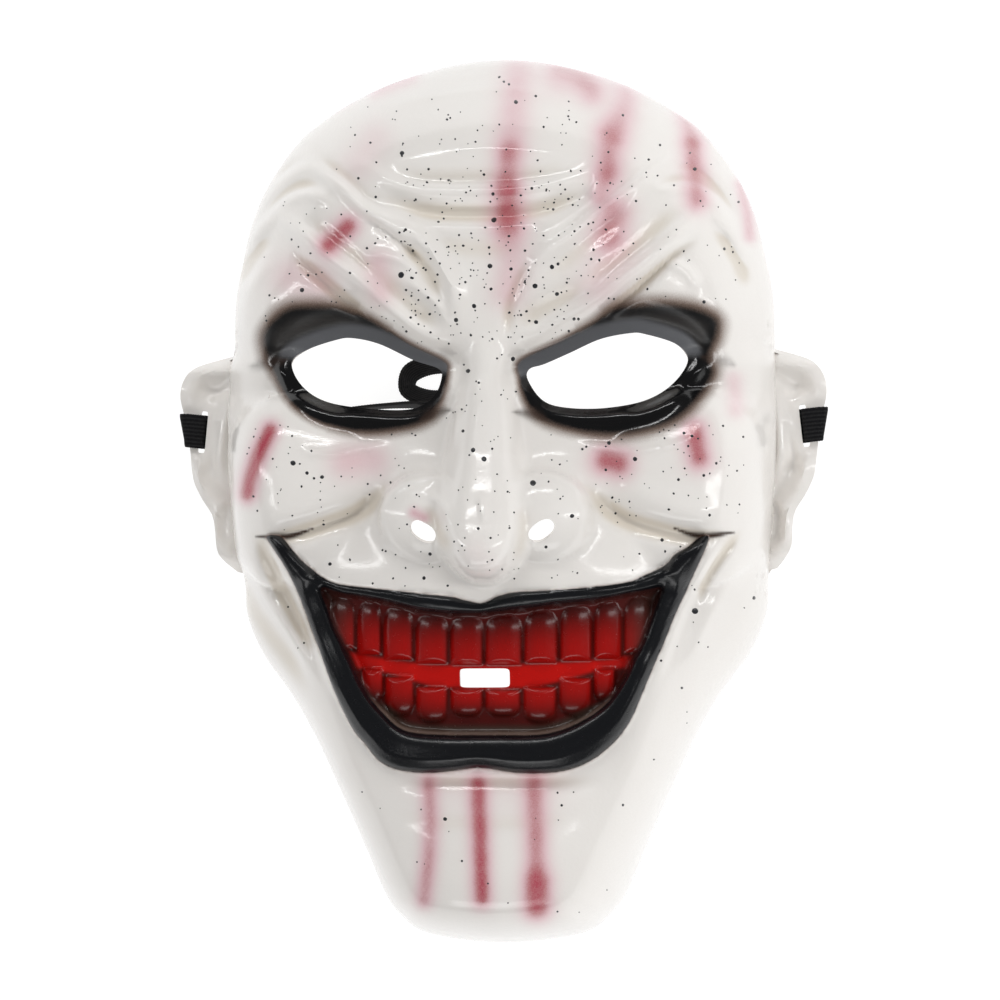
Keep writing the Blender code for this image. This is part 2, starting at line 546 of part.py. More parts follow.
def plan_mesh():
    """Points and triangles of the sheet's plan, with its boundary loops."""
    outline = rim_line(RIM_STEP)
    holes = hole_lines(WORKED_STEP)
    lips = [smooth_curve(placed(mirrored(table)), True, WORKED_STEP) for table in (LIPS_OUTER, LIPS_INNER)]
    folds = [smooth_curve(placed(row[3]), False, WORKED_STEP) for row in FOLDS]
    points = np.zeros((0, 2))
    edges = []
    for loop in [outline] + holes + lips:
        start = len(points)
        edges += [(start + k, start + (k + 1) % len(loop)) for k in range(len(loop))]
        points = np.vstack([points, loop])
    lines = [(inset_line(outline, inset), RIM_RINGS[0] / 2) for inset in RIM_RINGS]
    head = head_outline(RIM_STEP)
    for inset in (0.0, *RIM_RINGS):
        root = inset_line(head, inset)
        for side in (1, -1):
            beside = (root[:, 1] > EAR_LOW) & (root[:, 1] < EAR_LOW + EAR_HEIGHT) & (root[:, 0] * side > 0)
            lines.append((root[beside], RIM_RINGS[0] * 0.8))
    lines += [(inset_line(lips[0], inset), 0.2 * WORKED_STEP) for inset in LIP_RINGS]
    lines += [(inset_line(lips[1], inset), 0.2 * WORKED_STEP) for inset in LIP_RINGS]
    lines += [(fold, 0.3 * WORKED_STEP) for fold in folds]
    for line, least in lines:
        kept = spaced(line, points, least, holes, outline)
        gaps = np.linalg.norm(np.diff(kept, axis=0), axis=1)
        start = len(points)
        edges += [(start + k, start + k + 1) for k, gap in enumerate(gaps) if gap < 1.5 * RIM_STEP]
        points = np.vstack([points, kept])
    plain = lattice(outline, holes, folds + [np.vstack([lip, lip[:1]]) for lip in lips])
    for group in (tooth_points(), plain):
        points = np.vstack([points, spaced(group, points, 0.3 * WORKED_STEP, holes, outline)])
    verts, _, faces, _, _, _ = delaunay_2d_cdt([Vector(p) for p in points], edges, [], 0, 1e-7)
    verts = np.array([(v.x, v.y) for v in verts])
    faces = np.array([f for f in faces if len(f) == 3])
    middle = verts[faces].mean(axis=1)
    keep = within(outline, middle[:, 0], middle[:, 1])
    for hole in holes:
        keep &= ~within(hole, middle[:, 0], middle[:, 1])
    return verts, faces[keep]


def spaced(group, chosen, least, holes, outline):
    """Those points of a group that keep clear of the points chosen before, of each other and of the holes."""
    kept = []
    keep = within(outline, group[:, 0], group[:, 1])
    for hole in holes:
        gap, _ = away_from(hole, group[:, 0], group[:, 1], closed=True)
        keep &= (gap > least) & ~within(hole, group[:, 0], group[:, 1])
    for point in group[keep]:
        if np.min(np.hypot(*(chosen - point).T)) < least:
            continue
        if kept and np.min(np.hypot(*(np.array(kept) - point).T)) < least:
            continue
        kept.append(point)
    return np.array(kept).reshape(-1, 2)


def vertex_normals(points, faces, rounds):
    """Normals at the points, evened out with their neighbours'."""
    a, b, c = (points[faces[:, k]] for k in range(3))
    face = np.cross(b - a, c - a)
    normal = np.zeros(points.shape)
    for k in range(3):
        np.add.at(normal, faces[:, k], face)
    normal /= np.linalg.norm(normal, axis=1, keepdims=True)
    for _ in range(rounds):
        total = normal.copy()
        for k in range(3):
            np.add.at(total, faces[:, k], 0.5 * (normal[faces[:, (k + 1) % 3]] + normal[faces[:, (k + 2) % 3]]))
        normal = total / np.linalg.norm(total, axis=1, keepdims=True)
    return normal


def boundary_edges(faces):
    """Edges with one face, in that face's direction."""
    ends = np.concatenate([faces[:, [0, 1]], faces[:, [1, 2]], faces[:, [2, 0]]])
    known = {(a, b) for a, b in ends.tolist()}
    return [(a, b) for a, b in ends.tolist() if (b, a) not in known]


def mask_shell():
    plan, faces = plan_mesh()
    a, b, c = (plan[faces[:, k]] for k in range(3))
    turned = (b[:, 0] - a[:, 0]) * (c[:, 1] - a[:, 1]) - (b[:, 1] - a[:, 1]) * (c[:, 0] - a[:, 0]) < 0
    faces[turned] = faces[turned][:, ::-1]
    used = np.unique(faces)
    index = np.full(len(plan), -1)
    index[used] = np.arange(len(used))
    plan, faces = plan[used], index[faces]
    height = sheet_height(plan[:, 0], plan[:, 1])
    outer = np.column_stack([plan, height])
    inner = outer - WALL * vertex_normals(outer, faces, 2)
    inner[:, 2] = np.maximum(inner[:, 2], 0.0)
    count = len(outer)
    sides = []
    for p, q in boundary_edges(faces):
        sides.append((q, p, p + count))
        sides.append((q, p + count, q + count))
    triangles = np.vstack([faces, faces[:, ::-1] + count, np.array(sides)])
    shell = solid("mask_shell", np.vstack([outer, inner]), triangles)
    shell.data.materials.append(finish("ivory_plastic", (0.80, 0.76, 0.70), 0.22))
    return shell


def slot_loop(side):
    """Where the strap passes up an ear's slot, out over the ear's edge and back under itself, from its sewn end."""
    slot = placed([EAR_SLOT])[0] * (side, 1.0)
    out = np.array([side * math.cos(SLOT_TILT), math.sin(SLOT_TILT)])
    edge, slant = ear_edge(slot, out)
    top, low = EAR_LIFT, EAR_LIFT - WALL
    clear = STRAP_THICK / 2 + SEAT_GAP
    layer = STRAP_THICK + SEAT_GAP
    side_gap = SLOT_SHORT / 2
    stations = (
        (-SEWN_LENGTH, low - 1.35 * clear),
        (-SEWN_LENGTH / 2, low - 1.35 * clear),
        (-2.3 * side_gap, low - 1.35 * clear),
        (-1.0 * side_gap, low - 1.25 * clear),
        (-0.2 * side_gap, low - 0.75 * clear),
        (0.05 * side_gap, low),
        (0.05 * side_gap, top),
        (0.25 * side_gap, top + 0.6 * clear),
        (0.9 * side_gap, top + 1.15 * clear),
        ((edge + side_gap) / 2, top + 1.25 * clear),
        (edge - 0.2 * clear, top + 1.15 * clear),
        (edge + 0.9 * clear, top + 0.5 * clear),
        (edge + 1.15 * clear, (low + top) / 2),
        (edge + 0.8 * clear, low - 0.7 * clear),
        (edge - 0.4 * clear, low - 1.5 * clear),
        (side_gap, low - 1.2 * clear - layer),
        (-1.5 * side_gap, low - 1.5 * clear - layer),
        (-SEWN_LENGTH / 2, low - 1.5 * clear - layer),
        (-SEWN_LENGTH, low - 1.5 * clear - layer),
    )
    places = [(slot[0] + out[0] * run, slot[1] + out[1] * run, up) for run, up in stations]
    at_slot = np.array([-out[1], out[0]]) * side
    across = [at_slot + (slant - at_slot) * min(max(run / edge, 0.0), 1.0) for run, _ in stations]
    return places, [(*way, 0.0) for way in across]


def ear_edge(slot, out):
    """How far the ear's free edge lies from the middle of its slot, and which way the edge runs beside the strap."""
    line = ear_line(STRAP_THICK) * (np.sign(slot[0]), 1.0) - slot
    run = line @ out
    off = line @ np.array([-out[1], out[0]]) * np.sign(slot[0])
    beside = (run > 0) & (np.abs(off) < STRAP_WIDTH / 2)
    ends = line[beside][[0, -1]]
    slant = (ends[0] - ends[1]) / np.linalg.norm(ends[0] - ends[1])
    return float(run[beside].mean()), slant


def strap_stations():
    """Centres of the strap from its left end to its right end, and the direction across it at each."""
    left, left_across = slot_loop(-1.0)
    right, right_across = slot_loop(1.0)
    plan = placed([(u, v) for u, v, _, _ in STRAP_ROUTE])
    runs = np.gradient(plan, axis=0)
    middle, across = [], []
    for (x, y), run, (_, _, held, turn) in zip(plan, runs, STRAP_ROUTE):
        angle = turn * math.pi / 2
        run = run / np.linalg.norm(run)
        rest = (STRAP_WIDTH * math.sin(angle) + STRAP_THICK * math.cos(angle)) / 2
        middle.append((x, y, rest + held * EAR_LIFT + SEAT_GAP / 4))
        across.append((-run[1] * math.cos(angle), run[0] * math.cos(angle), math.sin(angle)))
    places = np.array(left + middle + right[::-1])
    return places, np.array(left_across + across + right_across[::-1])


def strap_line():
    """Ring centres along the strap, and the direction across it, closer together round the ears."""
    places, across = strap_stations()
    both = smooth_curve(np.hstack([places, across * STRAP_WIDTH]), False, STRAP_THICK)
    bent = np.abs(both[:, 0]) > HALF_WIDTH
    keep = bent | (np.arange(len(both)) % 5 == 0)
    keep[-1] = True
    both = both[keep]
    centre, sideways = both[:, :3], both[:, 3:]
    run = np.gradient(centre, axis=0)
    run /= np.linalg.norm(run, axis=1, keepdims=True)
    sideways = sideways - run * np.sum(sideways * run, axis=1, keepdims=True)
    sideways /= np.linalg.norm(sideways, axis=1, keepdims=True)
    return centre, sideways, np.cross(run, sideways)


def elastic_strap():
    centre, sideways, face = strap_line()
    points, triangles = [], []
    for place, side, up in zip(centre, sideways, face):
        for a, b in ((1, 1), (-1, 1), (-1, -1), (1, -1)):
            points.append(place + a * side * STRAP_WIDTH / 2 + b * up * STRAP_THICK / 2)
    for ring in range(len(centre) - 1):
        for k in range(4):
            p, q = 4 * ring + k, 4 * ring + (k + 1) % 4
            triangles.append((p, q, q + 4))
            triangles.append((p, q + 4, p + 4))
    last = 4 * (len(centre) - 1)
    triangles += [(0, 2, 1), (0, 3, 2), (last, last + 1, last + 2), (last, last + 2, last + 3)]
    strap = solid("elastic_strap", np.array(points), np.array(triangles))
    strap.data.materials.append(finish("black_elastic", (0.012, 0.012, 0.013), 0.8))
    return strap


def solid(name, points, triangles):
    """One closed body with its faces outwards."""
    mesh = bpy.data.meshes.new(name)
    corners = points[triangles]
    volume = np.einsum("ij,ij->i", corners[:, 0], np.cross(corners[:, 1], corners[:, 2])).sum()
    if volume < 0:
        triangles = triangles[:, ::-1]
    mesh.from_pydata(points.tolist(), [], triangles.tolist())
    mesh.update()
    mesh.shade_smooth()
    mesh.set_sharp_from_angle(angle=math.radians(50))
    thing = bpy.data.objects.new(name, mesh)
    bpy.context.scene.collection.objects.link(thing)
    return thing


def finish(name, colour, roughness):
    material = bpy.data.materials.new(name)
    material.use_nodes = True
    shader = material.node_tree.nodes["Principled BSDF"]
    shader.inputs["Base Color"].default_value = (*colour, 1.0)
    shader.inputs["Roughness"].default_value = roughness
    return material


clear_scene()
mask_shell()
elastic_strap()
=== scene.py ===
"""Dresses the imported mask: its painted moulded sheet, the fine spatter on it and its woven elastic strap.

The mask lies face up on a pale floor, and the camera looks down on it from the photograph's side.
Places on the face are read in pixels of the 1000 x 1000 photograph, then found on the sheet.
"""

import math

import bpy
import numpy as np
from mathutils import Matrix, Vector
from mathutils.bvhtree import BVHTree
from mathutils.geometry import delaunay_2d_cdt
from mathutils.kdtree import KDTree


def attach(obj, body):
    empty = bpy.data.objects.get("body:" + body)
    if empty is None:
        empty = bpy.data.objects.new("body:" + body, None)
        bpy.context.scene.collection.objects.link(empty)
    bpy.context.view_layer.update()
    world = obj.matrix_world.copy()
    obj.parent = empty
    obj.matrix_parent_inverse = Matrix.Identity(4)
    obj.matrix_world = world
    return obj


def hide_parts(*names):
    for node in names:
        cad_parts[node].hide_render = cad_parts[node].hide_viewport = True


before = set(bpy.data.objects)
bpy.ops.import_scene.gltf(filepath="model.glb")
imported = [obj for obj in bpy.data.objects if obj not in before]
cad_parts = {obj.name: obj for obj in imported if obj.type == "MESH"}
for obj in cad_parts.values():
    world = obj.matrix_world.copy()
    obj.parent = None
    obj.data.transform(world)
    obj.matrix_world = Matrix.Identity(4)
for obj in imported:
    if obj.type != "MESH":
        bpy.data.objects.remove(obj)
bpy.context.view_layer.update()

# Sizes of the mask, in metres, the same as in the part's source
HALF_WIDTH = 0.084
HALF_HEIGHT = 0.1365
DEPTH = 0.088
WALL = 0.0012
EAR_REACH = 0.0157
EAR_HEIGHT = 0.0675
EAR_LOW = -0.0218
EAR_LIFT = 0.012
EAR_ROOT = 0.008
HELIX_RISE = 0.0024
BULGE_RISE = 0.006
NOSTRIL_LONG = 0.0042
NOSTRIL_SHORT = 0.0026
NOSTRIL_TILT = math.radians(35)
SLOT_LONG = 0.0130
SLOT_SHORT = 0.0022
SLOT_TILT = math.radians(6)
MOUTH_SLOT_LONG = 0.0148
MOUTH_SLOT_SHORT = 0.0056
STRAP_WIDTH = 0.0105
STRAP_THICK = 0.0011
SEAT_GAP = 0.0004
SEWN_LENGTH = 0.014
MM = 0.001

# The weave: the step of its ribs, how far each second ring sinks, and its rubber cords in radians a millimetre
RIB_STEP = 0.00045
RIB_SUNK = 0.82
RIB_EDGE = 0.975
CORDS = 5.2

# Relief in millimetres, with its places and widths in pixels of the photograph
SOCKET_SINK = 5.2
SOCKET_WIDTH = 30
LOWER_LID_RISE = 2.6
LOWER_LID_PLACE = 10
LOWER_LID_WIDTH = 9
UPPER_CREASE_SINK = 1.1
UPPER_CREASE_PLACE = 17
UPPER_CREASE_WIDTH = 8
LIP_RISE = 4.2
LIP_CREST_RISE = 0.55
MOUTH_SINK = 3.5
TOOTH_RISE = 2.3
# The sum of fold depths, in millimetres, at which the shade painted into the hollows is full
FULL_SHADE_HOLLOW = 2.2

# How closely the sheet's points lie: over its worked areas, its teeth and its rim
STEP = 0.00085
TOOTH_STEP = 0.0006
WORKED_STEP = 0.002
RIM_STEP = 0.0018
RIM_SLACK = 0.00001
EYE_AND_LIP_MARGIN = 34
NOSE_MIDDLE = (482, 510)
NOSE_MARGIN = 80
WIDE_FOLD = 10
RIM_RINGS = (0.00008, 0.00025, 0.0006, 0.0012, 0.0021, 0.0032)

# The camera: its distance from a point over the middle of the mask, its lean to one side and its roll
VIEW_AIM = 0.040
VIEW_FROM = 1.1
VIEW_LEAN = math.radians(5.5)
VIEW_ROLL = math.radians(0.5)
PIXEL = 0.0003
PHOTO = 1000
PHOTO_MIDDLE = (493.22, 500.0)
SENSOR = 36.0

# The studio: each light's name, place, size and power, and whether the gloss mirrors it
LIGHTS = (
    ("key_light", (-0.10, 0.80, 0.85), (1.0, 0.50), 2.3, False),
    ("key_strip", (-0.10, 0.92, 0.66), (0.9, 0.07), 3.0, True),
    ("left_light", (-0.85, 0.20, 0.70), (0.40, 0.9), 1.3, False),
    ("left_strip", (-0.85, 0.15, 0.50), (0.06, 0.8), 1.2, True),
    ("right_light", (0.85, 0.10, 0.65), (0.40, 0.9), 3.8, False),
    ("right_strip", (0.85, 0.05, 0.50), (0.09, 0.8), 1.5, True),
    ("fill_light", (0.0, -0.85, 0.65), (1.1, 0.6), 2.1, False),
    ("fill_strip", (0.0, -0.90, 0.55), (1.0, 0.30), 2.2, True),
)
ROOM_LIGHT = 0.12
FLOOR_GLOW = 0.92
FLOOR_HALF = 3

# Places, as shares of HALF_WIDTH and HALF_HEIGHT. The face's form follows the tables of the part's source,
# with the nose, its wings and the strap's route fitted a little closer to the photograph
EAR_SLOT = (1.106, 0.160)
NOSTRIL = (0.207, -0.066)
MOUTH_SLOT = (-0.010, -0.383)

# The head's outline: height and half width
OUTLINE = (
    (0.988, 0.190), (0.953, 0.395), (0.908, 0.556), (0.862, 0.673), (0.818, 0.757), (0.727, 0.865), (0.638, 0.930),
    (0.548, 0.967), (0.458, 0.995), (0.340, 1.001), (0.100, 1.004), (-0.171, 0.970), (-0.261, 0.961),
    (-0.350, 0.899), (-0.440, 0.792), (-0.530, 0.706), (-0.620, 0.635), (-0.711, 0.567), (-0.800, 0.504),
    (-0.890, 0.442), (-0.935, 0.389), (-0.980, 0.282),
)

# The ear's outline: reach out from the head, and height, as shares of its own size
EAR = (
    (0.00, 1.000), (0.38, 0.973), (0.71, 0.942), (0.92, 0.889), (1.00, 0.825), (0.98, 0.759), (0.87, 0.675),
    (0.83, 0.569), (0.78, 0.472), (0.73, 0.410), (0.57, 0.334), (0.38, 0.264), (0.32, 0.199), (0.30, 0.111),
    (0.18, 0.052), (0.00, 0.000),
)

# The front: height, then its depth on the middle and at each quarter of the half width, as shares of DEPTH
FRONT = (
    (1.00, 0.50, 0.49, 0.45, 0.38, 0.28),
    (0.80, 0.64, 0.63, 0.59, 0.51, 0.39),
    (0.60, 0.70, 0.69, 0.65, 0.57, 0.44),
    (0.45, 0.71, 0.70, 0.66, 0.58, 0.43),
    (0.33, 0.69, 0.68, 0.64, 0.56, 0.40),
    (0.22, 0.68, 0.65, 0.60, 0.52, 0.37),
    (0.08, 0.70, 0.67, 0.62, 0.54, 0.38),
    (-0.06, 0.74, 0.71, 0.64, 0.53, 0.38),
    (-0.20, 0.77, 0.74, 0.67, 0.53, 0.34),
    (-0.38, 0.75, 0.72, 0.64, 0.48, 0.28),
    (-0.55, 0.71, 0.68, 0.59, 0.42, 0.23),
    (-0.72, 0.69, 0.66, 0.55, 0.38, 0.18),
    (-0.86, 0.68, 0.64, 0.51, 0.32, 0.14),
    (-1.00, 0.61, 0.56, 0.43, 0.23, 0.09),
)

# How far in from the outline the side rolls into the front: height and share of HALF_WIDTH
WALL_ROLL = (
    (1.0, 0.50), (0.7, 0.46), (0.4, 0.34), (0.1, 0.27), (-0.2, 0.24), (-0.5, 0.20), (-0.8, 0.19), (-1.0, 0.22),
)

# The nose: height, depth of its ridge and half width
NOSE = (
    (0.40, 0.66, 0.125), (0.30, 0.73, 0.120), (0.20, 0.78, 0.122), (0.10, 0.84, 0.130), (0.02, 0.91, 0.145),
    (-0.05, 0.97, 0.150), (-0.10, 1.00, 0.135), (-0.14, 0.98, 0.105), (-0.165, 0.91, 0.080), (-0.185, 0.76, 0.055),
    (-0.21, 0.45, 0.04),
)

NOSE_DROP = 0.011
BLEND = 0.0022

# Rounded masses on both sides: place, half width, half height, top, drop at the edge and blend
MASSES = (
    ("cheek", 0.68, 0.02, 0.37, 0.36, 0.70, 0.20, 0.0022),
    ("nose_wing", 0.205, -0.035, 0.170, 0.160, 0.845, 0.13, 0.0060),
)

# Soft bulges: place, half width, half height and share of BULGE_RISE
BULGES = (
    ("chin", 0.00, -0.80, 0.46, 0.26, 0.90),
    ("muzzle", 0.30, -0.14, 0.26, 0.14, 0.45),
    ("brow", 0.36, 0.50, 0.24, 0.14, 0.75),
    ("crown", 0.00, 0.82, 0.50, 0.22, 0.45),
    ("temple", 0.62, 0.66, 0.16, 0.16, 0.35),
    ("outer_lid", 0.86, 0.44, 0.10, 0.20, 0.80),
    ("jaw", 0.60, -0.56, 0.12, 0.26, 0.35),
)

# The strap behind the face: place, share of the ear's height that it hangs at, and turn on edge
STRAP_ROUTE = (
    (-0.870, 0.160, 0.50, 0.00), (-0.800, 0.167, 0.32, 0.20), (-0.710, 0.184, 0.10, 0.60),
    (-0.600, 0.203, 0.00, 0.90), (-0.480, 0.214, 0.00, 0.96), (-0.320, 0.218, 0.00, 0.90),
    (-0.200, 0.212, 0.00, 0.80), (-0.128, 0.206, 0.00, 0.88), (-0.080, 0.222, 0.00, 0.96),
    (-0.113, 0.244, 0.00, 0.88), (-0.180, 0.238, 0.00, 0.72), (-0.270, 0.232, 0.00, 0.68),
    (-0.350, 0.252, 0.00, 0.72), (-0.340, 0.290, 0.00, 0.68), (-0.255, 0.308, 0.00, 0.68),
    (-0.145, 0.300, 0.00, 0.76), (-0.030, 0.262, 0.00, 0.88), (0.080, 0.205, 0.00, 0.96),
    (0.230, 0.160, 0.00, 1.00), (0.420, 0.145, 0.00, 0.96), (0.590, 0.148, 0.02, 0.80),
    (0.710, 0.155, 0.14, 0.40), (0.800, 0.158, 0.34, 0.12), (0.870, 0.160, 0.50, 0.00),
)


# Lines read from the photograph, in its pixels
LEFT_EYE = (
    (292, 362), (306, 350), (335, 340), (352, 338), (379, 344), (413, 360), (437, 368), (442, 376), (435, 396),
    (413, 409), (372, 409), (328, 402), (303, 386),
)
RIGHT_EYE = (
    (688, 360), (676, 344), (645, 334), (630, 333), (600, 339), (569, 353), (544, 364), (529, 369), (528, 380),
    (544, 401), (569, 408), (607, 408), (647, 400), (674, 383),
)
LIPS_OUTER = (
    (480, 603), (498, 596), (517, 592), (554, 590), (591, 587), (628, 582), (643, 576), (665, 565), (674, 555),
    (687, 547), (700, 537), (709, 535), (708, 542), (702, 557), (694, 574), (685, 594), (674, 618), (665, 641),
    (657, 659), (646, 685), (639, 702), (632, 718), (621, 735), (606, 750), (591, 761), (572, 769), (550, 773),
    (517, 773), (480, 768), (453, 771), (426, 773), (398, 770), (379, 761), (365, 744), (354, 731), (342, 709),
    (331, 683), (320, 652), (311, 629), (304, 609), (296, 589), (285, 567), (270, 544), (266, 536), (276, 535),
    (283, 538), (296, 554), (306, 564), (324, 578), (339, 584), (361, 587), (398, 591), (435, 595), (453, 597),
)
LIPS_INNER = (
    (480, 613), (498, 611), (526, 608), (554, 604), (584, 601), (610, 597), (628, 593), (646, 590), (662, 588),
    (657, 604), (652, 618), (643, 644), (635, 657), (626, 677), (610, 700), (595, 713), (576, 724), (554, 732),
    (532, 735), (500, 735), (480, 735), (450, 735), (416, 733), (398, 727), (383, 713), (369, 697), (359, 680),
    (352, 664), (343, 646), (334, 629), (328, 611), (321, 588), (342, 593), (361, 596), (390, 602), (416, 609),
    (446, 613), (468, 613),
)

# Where the mouth darkens towards its corners, and where its rim becomes the sill under the teeth
MOUTH_MIDDLE = 489
MOUTH_CORNERS = (122.0, 168.0)
LOW_RIM = (690.0, 716.0)

# Teeth: left and right edge, the gum's and the biting edge's height
UPPER_TEETH = (
    (327, 355, 596, 650), (356, 381, 600, 656), (382, 413, 605, 661), (414, 448, 612, 665), (449, 483, 613, 666),
    (484, 522, 613, 666), (523, 558, 609, 664), (559, 592, 603, 662), (593, 622, 600, 660), (623, 653, 596, 654),
)
LOWER_TEETH = (
    (361, 383, 704, 668), (384, 414, 718, 676), (415, 448, 725, 686), (449, 483, 718, 688), (484, 521, 718, 689),
    (522, 557, 725, 686), (558, 592, 718, 677), (593, 615, 704, 668),
)

# Folds of the skin: rise in millimetres, half width in pixels and the line
FOLDS = (
    (1.2, 6, ((380, 110), (422, 98), (470, 91), (505, 89), (535, 92), (566, 98))),
    (0.7, 8, ((440, 153), (480, 149), (535, 151), (590, 156))),
    (-1.3, 11, ((372, 170), (400, 176), (440, 179), (500, 178), (560, 173), (595, 162))),
    (1.9, 8, ((345, 156), (361, 165), (389, 181), (421, 190), (480, 191), (530, 188), (582, 176), (606, 160))),
    (-2.8, 12, ((370, 191), (397, 205), (429, 214), (480, 216), (530, 215), (572, 200), (598, 182))),
    (1.9, 8, ((385, 208), (421, 222), (453, 226), (508, 225), (545, 217), (575, 205))),
    (-1.2, 12, ((420, 238), (450, 246), (490, 249), (530, 243))),
    (1.3, 6, ((602, 174), (597, 186), (588, 198))),
    (3.2, 9, ((296, 160), (316, 167), (348, 190), (374, 213), (396, 232), (414, 252))),
    (-2.6, 7, ((312, 154), (342, 176), (366, 199), (384, 216))),
    (-1.9, 4, ((362, 216), (389, 234), (408, 249), (424, 267))),
    (3.2, 10, ((384, 206), (405, 225), (428, 248), (446, 272), (455, 298), (456, 330))),
    (-2.3, 10, ((404, 240), (424, 262), (436, 282), (444, 304))),
    (2.9, 9, ((690, 152), (660, 164), (637, 179), (606, 206), (572, 234), (540, 258), (522, 284))),
    (-2.3, 5, ((665, 152), (643, 169), (609, 197), (576, 222), (545, 246))),
    (-1.8, 6, ((535, 255), (523, 271), (514, 291), (508, 310), (508, 340))),
    (2.0, 10, ((624, 186), (595, 205), (563, 223), (526, 243))),
    (-1.3, 12, ((640, 196), (606, 226), (570, 256), (540, 282))),
    (4.3, 9, ((262, 232), (277, 217), (294, 227), (326, 254), (358, 279), (389, 306), (420, 331), (448, 346))),
    (-3.5, 7, ((292, 250), (303, 263), (326, 284), (345, 300), (372, 318))),
    (-1.7, 10, ((300, 216), (330, 240), (360, 262), (384, 284))),
    (-2.0, 14, ((376, 268), (392, 296), (420, 318), (444, 330))),
    (1.2, 5, ((360, 258), (381, 255), (402, 261), (420, 272))),
    (1.3, 5, ((402, 279), (428, 294), (440, 309), (446, 324))),
    (4.3, 9, ((724, 226), (709, 210), (683, 232), (656, 256), (622, 282), (584, 308), (550, 326), (520, 340))),
    (-3.5, 6, ((702, 236), (683, 246), (660, 265), (636, 287), (610, 308), (590, 324))),
    (-1.7, 10, ((690, 206), (664, 222), (634, 248), (604, 270), (580, 288))),
    (-1.6, 14, ((590, 284), (560, 302), (530, 318), (514, 330))),
    (-3.0, 7, ((271, 232), (257, 250), (246, 266), (238, 286))),
    (2.9, 7, ((276, 216), (262, 228), (250, 246), (242, 262))),
    (1.7, 6, ((274, 256), (262, 272), (249, 292), (244, 310), (250, 330))),
    (-3.0, 7, ((712, 226), (726, 242), (739, 264), (747, 290))),
    (2.9, 7, ((709, 210), (724, 224), (740, 246), (750, 268))),
    (1.4, 6, ((662, 262), (676, 265), (690, 275), (699, 294))),
    (2.3, 6, ((322, 164), (300, 169), (280, 184), (264, 203), (255, 226))),
    (2.3, 7, ((340, 208), (319, 197), (302, 194), (284, 202), (267, 219), (254, 240))),
    (-2.6, 7, ((326, 184), (302, 186), (284, 195), (270, 209), (258, 229))),
    (1.9, 6, ((306, 146), (292, 154), (276, 170), (261, 188), (251, 212))),
    (-2.2, 6, ((304, 157), (288, 166), (272, 179), (259, 198), (250, 220))),
    (2.0, 6, ((676, 155), (697, 156), (713, 170), (727, 187), (741, 212))),
    (-2.2, 5, ((670, 166), (688, 167), (704, 176), (722, 195), (738, 224))),
    (2.3, 7, ((652, 196), (680, 188), (698, 191), (715, 203), (732, 222), (747, 248))),
    (-1.7, 6, ((655, 182), (680, 180), (702, 184), (720, 203))),
    (-3.2, 9, ((402, 478), (380, 496), (356, 513), (326, 524), (292, 534), (258, 537))),
    (1.2, 14, ((372, 470), (330, 496), (290, 512), (252, 516))),
    (-3.2, 9, ((574, 480), (596, 500), (622, 518), (652, 528), (690, 536), (735, 533))),
    (1.2, 14, ((606, 470), (650, 496), (700, 514), (740, 512))),
    (1.5, 4, ((296, 448), (316, 454), (340, 454), (362, 449), (390, 446))),
    (1.2, 4, ((572, 443), (600, 448), (640, 451), (676, 445), (700, 436))),
    (-3.4, 8, ((256, 528), (264, 552), (276, 578), (290, 606), (304, 634), (316, 664))),
    (1.4, 6, ((262, 530), (278, 558), (296, 592), (312, 630), (330, 676), (348, 716))),
    (1.8, 6, ((247, 536), (252, 560), (262, 588), (278, 614), (300, 648), (320, 690))),
    (-1.8, 10, ((240, 560), (248, 600), (268, 632), (292, 664), (310, 700))),
    (-2.6, 5, ((742, 528), (730, 545), (716, 564), (704, 584), (696, 606))),
    (1.4, 6, ((722, 532), (712, 552), (698, 576), (684, 604), (666, 650), (648, 700))),
    (1.4, 8, ((750, 536), (742, 560), (726, 590), (706, 626), (684, 676))),
    (-1.6, 8, ((388, 784), (440, 782), (560, 782), (606, 776))),
    (-0.8, 10, ((382, 814), (440, 822), (540, 822), (590, 814))),
    (1.7, 5, ((458, 400), (453, 430), (447, 454), (440, 484))),
    (1.6, 5, ((450, 472), (420, 480), (398, 487), (385, 499), (380, 528))),
    (1.2, 4, ((424, 494), (438, 500), (446, 510), (450, 528))),
    (0.8, 4, ((516, 472), (545, 473), (570, 483), (592, 502), (606, 520))),
    (1.0, 4, ((481, 494), (483, 508), (484, 524))),
    (-1.5, 7, ((424, 500), (432, 516), (440, 534), (452, 556))),
    (-1.2, 7, ((520, 500), (524, 524), (520, 548), (510, 566))),
)

# Folds of the ears, and of the face's edge beside them, in the same form
EAR_FOLDS = (
    (2.6, 6, ((232, 392), (226, 420), (221, 446), (221, 466), (226, 490))),
    (1.5, 3, ((214, 402), (204, 418), (198, 438), (197, 460), (201, 482), (212, 504))),
    (1.3, 3, ((222, 416), (213, 424), (207, 436))),
    (-2.0, 6, ((212, 428), (209, 456), (211, 480))),
    (-1.2, 9, ((198, 382), (212, 388), (224, 398))),
    (1.2, 4, ((230, 498), (219, 510), (217, 530), (222, 548))),
    (-2.4, 5, ((226, 504), (224, 522), (225, 546))),
    (2.6, 6, ((773, 388), (779, 420), (781, 446), (780, 466), (776, 490))),
    (1.5, 3, ((790, 402), (800, 418), (806, 438), (807, 460), (802, 482), (791, 504))),
    (1.3, 3, ((781, 416), (791, 424), (797, 436))),
    (-2.0, 6, ((792, 428), (795, 456), (792, 480))),
    (-1.2, 9, ((812, 382), (798, 388), (785, 398))),
    (1.2, 4, ((774, 498), (785, 510), (787, 530), (783, 548))),
    (-2.4, 5, ((777, 502), (779, 520), (777, 544))),
)

